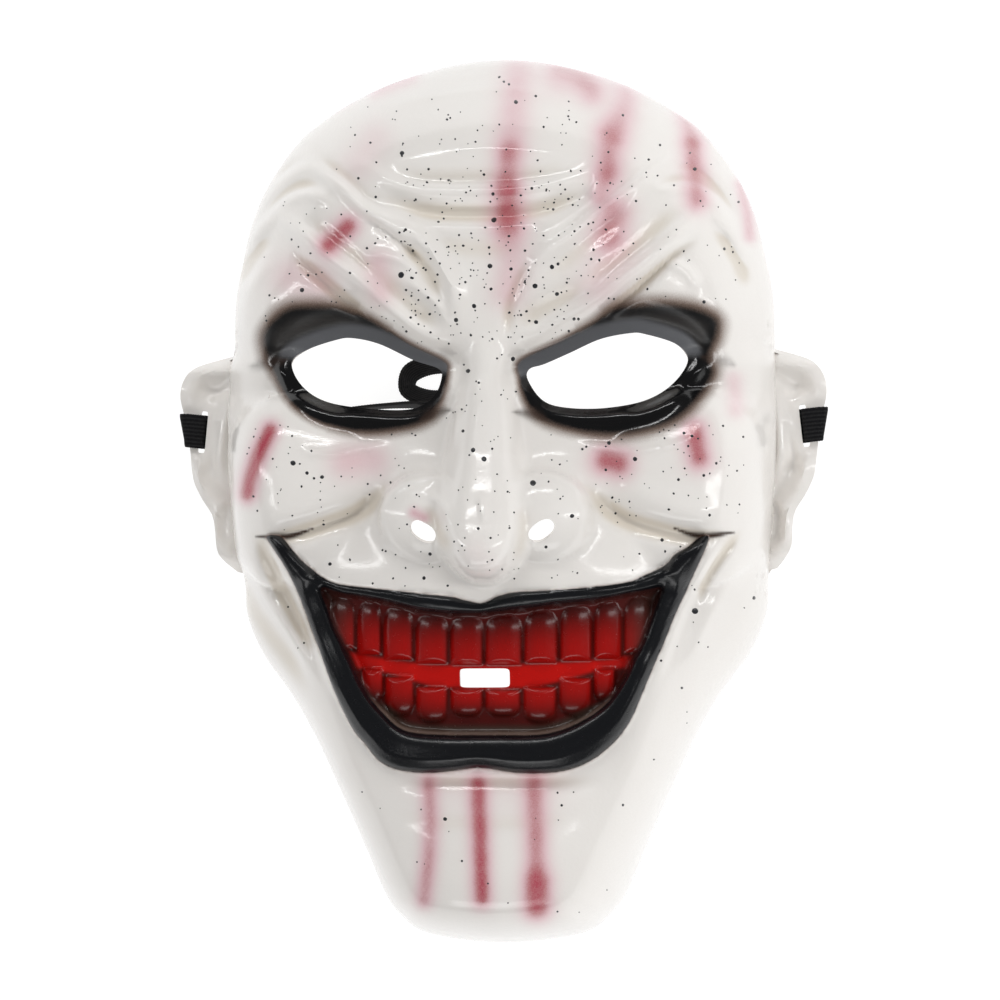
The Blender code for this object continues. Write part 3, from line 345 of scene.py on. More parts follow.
# Outer edge of the black paint round each eye, and how softly it fades at each point, in pixels
LEFT_SOCKET = (
    (262, 330, 8), (284, 307, 9), (313, 303, 9), (342, 306, 8), (372, 318, 6), (409, 342, 4), (445, 360, 4),
    (449, 372, 4), (444, 396, 5), (438, 410, 7), (431, 420, 7), (409, 429, 7), (372, 434, 7), (343, 431, 6),
    (313, 421, 5), (291, 405, 5), (278, 385, 5), (271, 372, 6), (262, 352, 8),
)
RIGHT_SOCKET = (
    (519, 360, 4), (561, 339, 4), (592, 321, 6), (613, 306, 8), (638, 302, 9), (668, 301, 9), (699, 306, 9),
    (720, 318, 9), (720, 336, 9), (712, 356, 8), (716, 374, 8), (699, 402, 8), (676, 422, 8), (645, 433, 8),
    (607, 437, 8), (569, 431, 7), (538, 419, 7), (523, 398, 5), (518, 378, 4),
)

# Soft dark strokes at the corners of eyes and mouth: half width in pixels, strength and the line
FLICKS = (
    (9.0, 0.50, ((286, 360), (268, 363), (250, 368))),
    (9.0, 0.45, ((702, 357), (716, 359), (734, 364))),
    (3.6, 1.0, ((256, 536), (272, 537), (290, 536), (312, 529))),
    (3.6, 1.0, ((674, 528), (690, 534), (706, 536), (735, 532))),
    (7.0, 0.60, ((420, 420), (434, 413), (450, 410))),
    (7.0, 0.60, ((548, 420), (532, 414), (514, 412))),
    (6.0, 0.30, ((438, 350), (456, 354))),
    (6.0, 0.30, ((508, 356), (524, 350))),
)

# Pink airbrushed streaks: half width in pixels, strength, and the line
STREAKS = (
    (18, 0.42, ((520, 56), (516, 90), (510, 150))),
    (13, 0.62, ((509, 152), (507, 186))),
    (17, 0.82, ((507, 192), (508, 224))),
    (18, 0.36, ((508, 222), (512, 258), (508, 292))),
    (14, 0.55, ((560, 66), (578, 74), (592, 92))),
    (18, 0.30, ((560, 80), (592, 78))),
    (15, 0.50, ((628, 80), (624, 108), (614, 134))),
    (17, 0.62, ((611, 134), (608, 172))),
    (10, 0.45, ((606, 172), (599, 196))),
    (18, 0.66, ((614, 212), (610, 236))),
    (24, 0.26, ((612, 250), (600, 284))),
    (10, 0.60, ((684, 112), (692, 138))),
    (13, 0.72, ((693, 146), (695, 176), (697, 200))),
    (7, 0.55, ((741, 184), (748, 214), (750, 236))),
    (12, 0.92, ((328, 246), (340, 234), (348, 226))),
    (22, 0.30, ((292, 278), (318, 284))),
    (15, 0.34, ((378, 262), (380, 292))),
    (18, 0.18, ((375, 138), (358, 164))),
    (9, 0.60, ((374, 88), (410, 74))),
    (6, 0.45, ((336, 106), (350, 98))),
    (10, 0.98, ((270, 430), (258, 456), (250, 478), (247, 494))),
    (18, 0.38, ((346, 462), (372, 460))),
    (16, 0.92, ((606, 460), (618, 463))),
    (14, 0.86, ((694, 432), (699, 458))),
    (9, 0.30, ((734, 380), (736, 410))),
    (10, 0.66, ((429, 782), (430, 840), (424, 900))),
    (11, 0.95, ((478, 784), (480, 840), (482, 898))),
    (13, 0.74, ((534, 784), (536, 840), (537, 905))),
    (14, 0.80, ((538, 882), (537, 908))),
    (30, 0.14, ((440, 778), (540, 778))),
    (6, 0.50, ((414, 513), (424, 518))),
    (14, 0.07, ((476, 552), (484, 562))),
)

# Larger drops of black spatter: place and radius, in pixels
DROPS = (
    (401, 275, 3.5), (402, 153, 2.5), (302, 290, 2.5), (406, 290, 1.5), (474, 306, 2.5), (490, 266, 2.8),
    (511, 269, 2), (491, 289, 1.8), (494, 220, 3), (493, 194, 2), (516, 102, 2.3), (456, 320, 2.5),
    (350, 273, 1.5), (459, 235, 1.3), (552, 267, 2.5), (558, 264, 1.8), (535, 286, 2.9), (557, 294, 2.3),
    (574, 319, 1.9), (536, 322, 2.3), (521, 315, 1.5), (636, 201, 1.5), (660, 145, 1.5), (695, 169, 2),
    (704, 302, 2), (733, 252, 1.3), (614, 299, 1.3), (468, 371, 2.5), (463, 431, 1.8), (513, 359, 2.4),
    (609, 443, 2.2), (635, 459, 2.5), (684, 433, 1.7), (692, 436, 1.8), (473, 450, 2.6), (484, 459, 3),
    (430, 554, 2), (572, 516, 2.4), (546, 547, 1.8), (293, 463, 3), (307, 473, 2), (322, 477, 2.2),
    (292, 436, 1.3), (330, 564, 2), (288, 607, 1.1), (304, 643, 1.2), (695, 611, 3.5), (754, 598, 2),
    (662, 540, 2), (708, 647, 1), (687, 712, 0.8), (687, 723, 0.8), (445, 819, 2.2), (623, 805, 1.5),
    (462, 861, 1.4), (362, 792, 1), (508, 903, 1), (417, 862, 1), (533, 483, 3.4), (424, 578, 2),
)

# A drop: its roundness, its thickness, how deep its edge and its root lie, and its least height
DROP_FLAT = 0.92
DROP_THICK = 0.00011
DROP_EDGE_DEEP = 0.00003
DROP_ROOT_DEEP = 0.00035
DROP_LEAST_HEIGHT = 0.004
FINE_DROP = 0.75
FINE_DROP_SPREAD = 0.9

# Fine spatter: left, right, top and bottom of an area in pixels, and how many drops fall there
SPATTER = (
    (400, 590, 180, 345, 250), (330, 660, 110, 200, 80), (250, 420, 200, 330, 60), (590, 740, 150, 300, 60),
    (445, 520, 350, 580, 60), (240, 420, 425, 530, 60), (540, 745, 425, 525, 85), (300, 700, 545, 590, 45),
    (350, 620, 64, 110, 14), (285, 330, 570, 760, 9), (650, 745, 560, 760, 12), (370, 640, 780, 925, 16),
)


def column(table, index):
    return np.array([row[index] for row in table])


def placed(points):
    """Shares of the half width and half height as places in metres."""
    return np.array([(u * HALF_WIDTH, v * HALF_HEIGHT) for u, v in points])


def mirrored(points):
    """A right half, top to bottom, closed with its mirror."""
    left = [(-u, v) for u, v in reversed(points) if abs(u) > 1e-9]
    return list(points) + left


def smooth_curve(points, closed, step):
    """Points a step apart on the spline through these points."""
    pts = np.array(points, float)
    count = len(pts)
    spans = count if closed else count - 1
    fine = []
    for i in range(spans):
        if closed:
            a, b, c, d = (pts[(i + k) % count] for k in (-1, 0, 1, 2))
        else:
            a, b, c, d = (pts[min(max(i + k, 0), count - 1)] for k in (-1, 0, 1, 2))
        for t in np.linspace(0.0, 1.0, 12, endpoint=False):
            fine.append(0.5 * ((2 * b) + (c - a) * t + (2 * a - 5 * b + 4 * c - d) * t**2
                               + (3 * b - a - 3 * c + d) * t**3))
    fine.append(pts[0] if closed else pts[-1])
    return evenly(np.array(fine), closed, step)


def evenly(line, closed, step):
    """A line cut into even steps."""
    runs = np.concatenate([[0.0], np.cumsum(np.linalg.norm(np.diff(line, axis=0), axis=1))])
    count = max(2, round(runs[-1] / step))
    places = np.linspace(0.0, runs[-1], count + 1)
    if closed:
        places = places[:-1]
    return np.stack([np.interp(places, runs, line[:, k]) for k in range(line.shape[1])], axis=1)


def away_from(line, x, y, closed=False):
    """Distance to a line, and how far along it the nearest point lies, from 0 to 1."""
    ends = np.roll(line, -1, axis=0) if closed else line[1:]
    starts = line if closed else line[:-1]
    best = np.full(x.shape, 1e9)
    along = np.zeros(x.shape)
    for i, (a, b) in enumerate(zip(starts, ends)):
        run = b - a
        t = np.clip(((x - a[0]) * run[0] + (y - a[1]) * run[1]) / max(run @ run, 1e-18), 0.0, 1.0)
        gap = np.hypot(x - a[0] - t * run[0], y - a[1] - t * run[1])
        nearer = gap < best
        best = np.where(nearer, gap, best)
        along = np.where(nearer, (i + t) / len(starts), along)
    return best, along


def within(line, x, y):
    """True inside a closed line."""
    inside = np.zeros(x.shape, bool)
    for a, b in zip(line, np.roll(line, -1, axis=0)):
        crosses = (a[1] > y) != (b[1] > y)
        if b[1] != a[1]:
            inside ^= crosses & (x < (b[0] - a[0]) * (y - a[1]) / (b[1] - a[1]) + a[0])
    return inside


def depth_into(line, x, y):
    """Signed distance to a closed line: above 0 inside."""
    gap, _ = away_from(line, x, y, closed=True)
    return np.where(within(line, x, y), gap, -gap)


def smooth_step(low, high, value):
    t = np.clip((value - low) / (high - low), 0.0, 1.0)
    return t * t * (3 - 2 * t)


def hump(gap, width):
    """A soft bell, 1 where there is no gap and fading over the width."""
    return np.exp(-((gap / width) ** 2))


def smooth_max(a, b, blend):
    return 0.5 * (a + b + np.sqrt((a - b) ** 2 + blend**2))


def head_outline(step=0.0015):
    points = [(0.0, 1.0)] + [(u, v) for v, u in OUTLINE] + [(0.0, -1.0)]
    return smooth_curve(placed(mirrored(points)), True, step)


def ear_line(step):
    rows = [(HALF_WIDTH + reach * EAR_REACH, EAR_LOW + up * EAR_HEIGHT) for reach, up in EAR]
    return smooth_curve(rows, False, step)


def rim_line(step):
    """The whole free edge of the sheet: the head's outline with the ears in it."""
    head = head_outline(step / 4)
    ear = ear_line(step)
    high, low = ear[0][1], ear[-1][1]
    right = head[head[:, 0] >= 0]
    right = right[np.argsort(-right[:, 1])]
    top = right[right[:, 1] > high + step / 4]
    bottom = right[right[:, 1] < low - step / 4]
    top = evenly(np.vstack([top, ear[0]]), False, step)[:-1]
    bottom = evenly(np.vstack([ear[-1], bottom]), False, step)[1:]
    half = np.vstack([top, ear, bottom])
    half = half[np.abs(half[:, 0]) > step / 3]
    crown = np.array([[0.0, HALF_HEIGHT]])
    base = np.array([[0.0, -HALF_HEIGHT]])
    other = half[::-1] * (-1.0, 1.0)
    return np.vstack([crown, half, base, other])


def oval(centre, long, short, tilt, power, step):
    """A closed line round a centre, an ellipse at power 2 and squarer above it."""
    turns = np.linspace(0.0, math.tau, 64, endpoint=False)
    c, s = np.cos(turns), np.sin(turns)
    a = long * np.sign(c) * np.abs(c) ** (2 / power)
    b = short * np.sign(s) * np.abs(s) ** (2 / power)
    line = np.stack([centre[0] + a * math.cos(tilt) - b * math.sin(tilt),
                     centre[1] + a * math.sin(tilt) + b * math.cos(tilt)], axis=1)
    return evenly(np.vstack([line, line[:1]]), True, step)


def front_height(x, y):
    """The plain front of the face, from the table of sections."""
    v = np.clip(y / HALF_HEIGHT, -1.0, 1.0)
    u = np.clip(np.abs(x) / HALF_WIDTH, 0.0, 1.2)
    rows = column(FRONT, 0)[::-1]
    quarter = []
    for k in range(1, 6):
        quarter.append(eased(v, rows, column(FRONT, k)[::-1]))
    a, b, c, d, e = quarter
    q = 4.0 * u
    height = np.where(q < 1, mixed(b, a, b, c, q), 0.0)
    height = np.where((q >= 1) & (q < 2), mixed(a, b, c, d, q - 1), height)
    height = np.where((q >= 2) & (q < 3), mixed(b, c, d, e, q - 2), height)
    height = np.where(q >= 3, mixed(c, d, e, 2 * e - d, q - 3), height)
    return height * DEPTH


def mixed(a, b, c, d, t):
    return 0.5 * (2 * b + (c - a) * t + (2 * a - 5 * b + 4 * c - d) * t**2 + (3 * b - a - 3 * c + d) * t**3)


def eased(value, places, heights):
    """Heights between rows, on a spline through them."""
    i = np.clip(np.searchsorted(places, value) - 1, 0, len(places) - 2)
    t = np.clip((value - places[i]) / (places[i + 1] - places[i]), 0.0, 1.0)
    before = heights[np.maximum(i - 1, 0)]
    after = heights[np.minimum(i + 2, len(places) - 1)]
    return mixed(before, heights[i], heights[i + 1], after, t)


def with_nose(x, y, height):
    rows = NOSE[::-1]
    v = y / HALF_HEIGHT
    top = eased(v, column(rows, 0), column(rows, 1)) * DEPTH
    half = eased(v, column(rows, 0), column(rows, 2)) * HALF_WIDTH
    ridge = top - NOSE_DROP * np.abs(x / half) ** 2.6
    ends = smooth_step(rows[0][0] - 0.02, rows[0][0], v) * (1 - smooth_step(rows[-1][0], rows[-1][0] + 0.05, v))
    ridge = ridge - (1 - ends) * DEPTH / 4
    return smooth_max(height, ridge, BLEND)


def with_masses(x, y, height):
    for _, u, v, wide, high, top, drop, blend in MASSES:
        across = (np.abs(x) - u * HALF_WIDTH) / (wide * HALF_WIDTH)
        up = (y - v * HALF_HEIGHT) / (high * HALF_WIDTH)
        round_off = 1 - np.sqrt(np.clip(1 - across**2 - up**2, 0.0, 1.0))
        past = np.clip(across**2 + up**2 - 1, 0.0, None)
        mass = DEPTH * (top - drop * (round_off + past))
        height = smooth_max(height, mass, blend)
    return height


def bulge_height(x, y):
    rise = np.zeros(x.shape)
    for _, u, v, wide, high, share in BULGES:
        for side in (1.0, -1.0) if u else (1.0,):
            across = (x - side * u * HALF_WIDTH) / (wide * HALF_WIDTH)
            up = (y - v * HALF_HEIGHT) / (high * HALF_WIDTH)
            rise += share * BULGE_RISE * np.exp(-(across**2) - up**2)
    return rise


def ear_height(x, y):
    """The rolled helix of each ear and the hollow inside it, with a flat seat for the strap round the slot."""
    line = ear_line(WORKED_STEP)
    gap, _ = away_from(line, np.abs(x), y)
    out = smooth_step(-0.3 * EAR_REACH, 0.15 * EAR_REACH, np.abs(x) - HALF_WIDTH)
    helix = hump(gap - 0.16 * EAR_REACH, 0.2 * EAR_REACH)
    hollow = hump(gap - 0.6 * EAR_REACH, 0.22 * EAR_REACH)
    slot = placed([EAR_SLOT])[0]
    pad = smooth_step(0.55 * SLOT_LONG, 0.95 * SLOT_LONG, np.abs(y - slot[1]))
    return HELIX_RISE * out * pad * (helix - 0.6 * hollow)


def ear_lift(y):
    """How high the rim stands beside the ears, clear of the strap below it."""
    high = EAR_LOW + EAR_HEIGHT
    up = smooth_step(EAR_LOW - 0.25 * EAR_ROOT, EAR_LOW + 0.75 * EAR_ROOT, y)
    down = smooth_step(high - 0.75 * EAR_ROOT, high + 0.25 * EAR_ROOT, y)
    return EAR_LIFT * up * (1 - down)


def view_axes():
    """The camera's right, up and back."""
    back = np.array([math.sin(VIEW_LEAN), 0.0, math.cos(VIEW_LEAN)])
    right = np.array([math.cos(VIEW_LEAN), 0.0, -math.sin(VIEW_LEAN)])
    up = np.array([0.0, 1.0, 0.0])
    c, s = math.cos(VIEW_ROLL), math.sin(VIEW_ROLL)
    return right * c - up * s, right * s + up * c, back


def seen(x, y, z):
    """The photograph's pixel that a place shows at."""
    right, up, back = view_axes()
    off = np.stack([x, y, z - VIEW_AIM], axis=-1)
    scale = VIEW_FROM / (VIEW_FROM - off @ back) / PIXEL
    return PHOTO_MIDDLE[0] + off @ right * scale, PHOTO_MIDDLE[1] - off @ up * scale


def on_plan(pixels, depth=0.0):
    """The places on the plan that pixels show, on the plain sheet or a depth below it."""
    right, up, back = view_axes()
    pixels = np.array(pixels, float)
    a = (pixels[:, 0] - PHOTO_MIDDLE[0]) * PIXEL / VIEW_FROM
    b = (PHOTO_MIDDLE[1] - pixels[:, 1]) * PIXEL / VIEW_FROM
    ray = a[:, None] * right + b[:, None] * up - back
    eye = np.array([0.0, 0.0, VIEW_AIM]) + back * VIEW_FROM
    height = np.full(len(pixels), VIEW_AIM)
    for _ in range(6):
        place = eye + ray * ((height - eye[2]) / ray[:, 2])[:, None]
        height = plain_height(place[:, 0], place[:, 1]) - depth
    return place[:, :2]


def front_of_face(x, y):
    return with_masses(x, y, with_nose(x, y, front_height(x, y) + bulge_height(x, y)))


def rolled_wall(x, y):
    """From 0 at the rim to 1 where the wall has reached the front."""
    v = y / HALF_HEIGHT
    roll = eased(v, column(WALL_ROLL, 0)[::-1], column(WALL_ROLL, 1)[::-1]) * HALF_WIDTH
    inside = np.clip((depth_into(head_outline(), x, y) - RIM_SLACK) / roll, 0.0, 1.0)
    return (1 - (1 - inside) ** 2.2) ** 0.55


def plain_height(x, y):
    """Height of the sheet without its folds, sockets and mouth."""
    lift = ear_lift(y)
    return lift + (front_of_face(x, y) - lift) * rolled_wall(x, y)


def strokes(rows, px, py):
    """Soft lines added up: each gives its height over its whole run, fading at its ends."""
    total = np.zeros(px.shape)
    for rise, width, points in rows:
        line = smooth_curve(points, False, 4.0)
        gap, along = away_from(line, px, py)
        fade = smooth_step(-0.04, 0.30, along) * (1 - smooth_step(0.70, 1.04, along))
        total += rise * fade * hump(gap, width)
    return total


def corner_line(outline, px):
    """Height of the line through an eye's two corners."""
    (ax, ay), (bx, by) = min(outline), max(outline)
    return ay + (by - ay) * (px - ax) / (bx - ax)


def eye_relief(px, py):
    """The sunk socket round each eye hole: a crease over its upper lid, and a raised roll for the lower one."""
    rise = np.zeros(px.shape)
    for outline in (LEFT_EYE, RIGHT_EYE):
        line = smooth_curve(outline, True, 3.0)
        gap = np.clip(-depth_into(line, px, py), 0.0, None)
        lower = smooth_step(-16.0, 16.0, py - corner_line(outline, px))
        rise -= SOCKET_SINK * hump(gap, SOCKET_WIDTH) * (1 - 0.45 * lower)
        rise += LOWER_LID_RISE * lower * hump(gap - LOWER_LID_PLACE, LOWER_LID_WIDTH)
        rise -= UPPER_CREASE_SINK * (1 - lower) * hump(gap - UPPER_CREASE_PLACE, UPPER_CREASE_WIDTH)
    return rise


def tooth_shape(px, py):
    """Rise of the teeth from 0 to 1, how far from gum to biting edge, and which tooth is nearest."""
    rise = np.zeros(px.shape)
    down = np.full(px.shape, 0.5)
    for rows in (UPPER_TEETH, LOWER_TEETH):
        for left, right, gum, bite in rows:
            half = (right - left) / 2
            across = np.abs(px - (left + right) / 2) / half
            way = (py - gum) / (bite - gum)
            arch = np.clip((0.42 - way) / 0.42, 0.0, None)
            crown = (across**2.4 + arch**2.4) ** (1 / 2.4)
            shape = np.minimum(1 - crown**2.6, (1 - way) * abs(bite - gum) / 6)
            rise = np.maximum(rise, shape)
            beside = (across < 1.15) & (way > -0.15) & (way < 1.1)
            down = np.where(beside, np.clip(way, 0.0, 1.0), down)
    return rise, down


def mouth_relief(px, py):
    """The rolled lips, and the sunk mouth inside them with its two rows of teeth."""
    into_lips = depth_into(smooth_curve(LIPS_OUTER, True, 4.0), px, py)
    into_mouth = depth_into(smooth_curve(LIPS_INNER, True, 4.0), px, py)
    width = np.clip(into_lips - into_mouth, 1e-6, None)
    across = np.clip(into_lips / width, 0.0, 1.0) ** 0.9
    roll = np.sqrt(np.clip(4 * across * (1 - across), 0.0, 1.0)) * (into_lips > 0) * (into_mouth < 0)
    rise = LIP_RISE * roll * smooth_step(0.0, 34.0, width)
    rise += LIP_CREST_RISE * hump(across - 0.42, 0.10) * (roll > 0) * smooth_step(12.0, 26.0, width)
    sunk = smooth_step(-3.0, 6.0, into_mouth)
    teeth, _ = tooth_shape(px, py)
    return rise - MOUTH_SINK * sunk + TOOTH_RISE * teeth * sunk


def sheet_height(x, y):
    """Height of the outer face of the moulded sheet."""
    wall = rolled_wall(x, y)
    lift = ear_lift(y)
    front = front_of_face(x, y)
    px, py = seen(x, y, lift + (front - lift) * wall)
    front = front + (strokes(FOLDS, px, py) + eye_relief(px, py) + mouth_relief(px, py)) * MM
    slot = placed([EAR_SLOT])[0]
    seat = np.hypot((np.abs(x) - slot[0]) / (1.6 * SLOT_SHORT), (y - slot[1]) / (0.62 * SLOT_LONG))
    lines = strokes(EAR_FOLDS, px, py) * MM * smooth_step(0.9, 1.6, seat)
    return lift + (front - lift) * wall + (ear_height(x, y) + lines) * (1 - wall) * lift / EAR_LIFT


def hole_lines(step):
    """The eye, nostril, mouth and ear holes, cut through the sheet."""
    holes = [smooth_curve(on_plan(line, 0.004), True, step) for line in (LEFT_EYE, RIGHT_EYE)]
    for side in (1.0, -1.0):
        turn = (side, 1.0)
        nostril = placed([NOSTRIL])[0] * turn
        holes.append(oval(nostril, NOSTRIL_LONG, NOSTRIL_SHORT, side * NOSTRIL_TILT, 2.3, step / 1.5))
        slot = placed([EAR_SLOT])[0] * turn
        tilt = math.pi / 2 + side * SLOT_TILT
        holes.append(oval(slot, SLOT_LONG / 2, SLOT_SHORT / 2, tilt, 8.0, SLOT_SHORT / 3))
    mouth = placed([MOUTH_SLOT])[0]
    holes.append(oval(mouth, MOUTH_SLOT_LONG / 2, MOUTH_SLOT_SHORT / 2, 0.0, 9.0, step / 1.5))
    return holes


def grid(step):
    """Rows of points a step apart over the whole plan, and which of them make up the same grid at two steps."""
    rows = int(HALF_HEIGHT / (step * 0.866)) + 1
    cols = int((HALF_WIDTH + EAR_REACH) / step) + 1
    i, j = np.meshgrid(np.arange(-cols, cols + 1), np.arange(-rows, rows + 1))
    i, j = i.ravel(), j.ravel()
    return step * (i + 0.5 * (j % 2)), step * 0.866 * j, (j % 2 == 0) & ((i - j // 2) % 2 == 0)


def lattice(outline, holes):
    """Points over the plan of the sheet, closer where it is worked and closest over the teeth."""
    mouth = smooth_curve(LIPS_INNER, True, 8.0)
    x, y, coarse = grid(STEP)
    keep = within(outline, x, y)
    x, y, coarse = x[keep], y[keep], coarse[keep]
    px, py = seen(x, y, plain_height(x, y))
    worked = np.abs(x) > 0.985 * HALF_WIDTH
    for line in (LEFT_EYE, RIGHT_EYE, LIPS_OUTER):
        worked |= depth_into(smooth_curve(line, True, 8.0), px, py) > -EYE_AND_LIP_MARGIN
    worked |= (np.abs(px - NOSE_MIDDLE[0]) < NOSE_MARGIN) & (np.abs(py - NOSE_MIDDLE[1]) < NOSE_MARGIN)
    for _, width, points in FOLDS:
        if width < WIDE_FOLD:
            gap, _ = away_from(smooth_curve(points, False, 12.0), px, py)
            worked |= gap < 1.5 * width
    keep = (worked | coarse) & ~within(mouth, px, py)
    x, y = x[keep], y[keep]
    fine_x, fine_y, _ = grid(TOOTH_STEP)
    px, py = seen(fine_x, fine_y, plain_height(fine_x, fine_y) - MOUTH_SINK * MM)
    keep = within(mouth, px, py)
    x, y = np.append(x, fine_x[keep]), np.append(y, fine_y[keep])
    for line in [outline] + holes:
        gap, _ = away_from(line, x, y, closed=True)
        least = RIM_RINGS[-1] + 0.5 * STEP if line is outline else 0.55 * STEP
        keep = (gap > least) & (within(line, x, y) == (line is outline))
        x, y = x[keep], y[keep]
    return np.stack([x, y], axis=1)


def inset_line(outline, inset):
    """A clockwise closed line moved inwards."""
    run = np.roll(outline, -1, axis=0) - np.roll(outline, 1, axis=0)
    normal = np.stack([run[:, 1], -run[:, 0]], axis=1)
    normal /= np.linalg.norm(normal, axis=1, keepdims=True)
    ring = outline + normal * inset
    if inset == 0.0:
        return ring
    gap, _ = away_from(outline, ring[:, 0], ring[:, 1], closed=True)
    return ring[gap > 0.93 * abs(inset)]


def vertex_normals(points, faces, rounds):
    """Normals at the points, evened out with their neighbours'."""
    a, b, c = (points[faces[:, k]] for k in range(3))
    face = np.cross(b - a, c - a)
    normal = np.zeros(points.shape)
    for k in range(3):
        np.add.at(normal, faces[:, k], face)
    normal /= np.linalg.norm(normal, axis=1, keepdims=True)
    for _ in range(rounds):
        total = normal.copy()
        for k in range(3):
            np.add.at(total, faces[:, k], 0.5 * (normal[faces[:, (k + 1) % 3]] + normal[faces[:, (k + 2) % 3]]))
        normal = total / np.linalg.norm(total, axis=1, keepdims=True)
    return normal


def boundary_edges(faces):
    """Edges with one face, in that face's direction."""
    ends = np.concatenate([faces[:, [0, 1]], faces[:, [1, 2]], faces[:, [2, 0]]])
    known = {(a, b) for a, b in ends.tolist()}
    return [(a, b) for a, b in ends.tolist() if (b, a) not in known]


def clear_of(group, tree, least):
    """Those points of a group that keep clear of the points in a tree."""
    return np.array([p for p in group if tree.find((p[0], p[1], 0.0))[2] > least]).reshape(-1, 2)


def point_tree(points):
    tree = KDTree(len(points))
    for k, point in enumerate(points):
        tree.insert((point[0], point[1], 0.0), k)
    tree.balance()
    return tree


def plan_mesh():
    """Points and triangles of the sheet's plan, with its boundary loops."""
    outline = rim_line(RIM_STEP)
    holes = hole_lines(STEP)
    points = np.zeros((0, 2))
    edges = []
    for loop in [outline] + holes:
        start = len(points)
        edges += [(start + k, start + (k + 1) % len(loop)) for k in range(len(loop))]
        points = np.vstack([points, loop])
    rings = [inset_line(outline, inset) for inset in RIM_RINGS]
    head = head_outline(RIM_STEP)
    roots = []
    for inset in (0.0, *RIM_RINGS[1:]):
        root = inset_line(head, inset)
        roots.append(root[(root[:, 1] > EAR_LOW - EAR_ROOT) & (root[:, 1] < EAR_LOW + EAR_HEIGHT + EAR_ROOT)])
    for ring, least in [(ring, 0.00006) for ring in rings] + [(root, 0.0002) for root in roots]:
        ring = ring[within(outline, ring[:, 0], ring[:, 1])]
        kept = clear_of(ring, point_tree(points), least)
        start = len(points)
        gaps = np.linalg.norm(np.diff(kept, axis=0), axis=1)
        edges += [(start + k, start + k + 1) for k, gap in enumerate(gaps) if gap < 1.5 * RIM_STEP]
        points = np.vstack([points, kept])
    plain = lattice(outline, holes)
    points = np.vstack([points, clear_of(plain, point_tree(points), 0.45 * STEP)])
    verts, _, faces, _, _, _ = delaunay_2d_cdt([Vector(p) for p in points], edges, [], 0, 1e-7)
    verts = np.array([(v.x, v.y) for v in verts])
    faces = np.array([f for f in faces if len(f) == 3])
    middle = verts[faces].mean(axis=1)
    keep = within(outline, middle[:, 0], middle[:, 1])
    for hole in holes:
        keep &= ~within(hole, middle[:, 0], middle[:, 1])
    return verts, faces[keep]


def mask_piece():
    """The moulded sheet with its outer face painted, as one closed mesh."""
    plan, faces = plan_mesh()
    a, b, c = (plan[faces[:, k]] for k in range(3))
    turned = (b[:, 0] - a[:, 0]) * (c[:, 1] - a[:, 1]) - (b[:, 1] - a[:, 1]) * (c[:, 0] - a[:, 0]) < 0
    faces[turned] = faces[turned][:, ::-1]
    used = np.unique(faces)
    index = np.full(len(plan), -1)
    index[used] = np.arange(len(used))
    plan, faces = plan[used], index[faces]
    outer = np.column_stack([plan, sheet_height(plan[:, 0], plan[:, 1])])
    inner = outer - WALL * vertex_normals(outer, faces, 3)
    inner[:, 2] = np.maximum(inner[:, 2], 0.0)
    count = len(outer)
    sides = []
    for p, q in boundary_edges(faces):
        sides.append((q, p, p + count))
        sides.append((q, p + count, q + count))
    triangles = np.vstack([faces, faces[:, ::-1] + count, np.array(sides)])
    piece = mesh_object("painted_sheet", np.vstack([outer, inner]), triangles, 50)
    px, py = seen(*outer.T)
    for name, values in paint(px, py).items():
        add_layer(piece, name, np.append(values, np.full(count, values.min())))
    return piece, outer, faces


def soft_socket(rows, px, py):
    """Signed distance into the paint round an eye, as a share of how softly its edge fades there."""
    table = np.array(rows, float)
    line = smooth_curve(table[:, :2], True, 4.0)
    depth = depth_into(line, px, py)
    closest = np.full(px.shape, 1e9)
    soft = np.full(px.shape, 6.0)
    for x, y, fade in rows:
        gap = np.hypot(px - x, py - y)
        soft = np.where(gap < closest, fade, soft)
        closest = np.minimum(closest, gap)
    return depth / soft


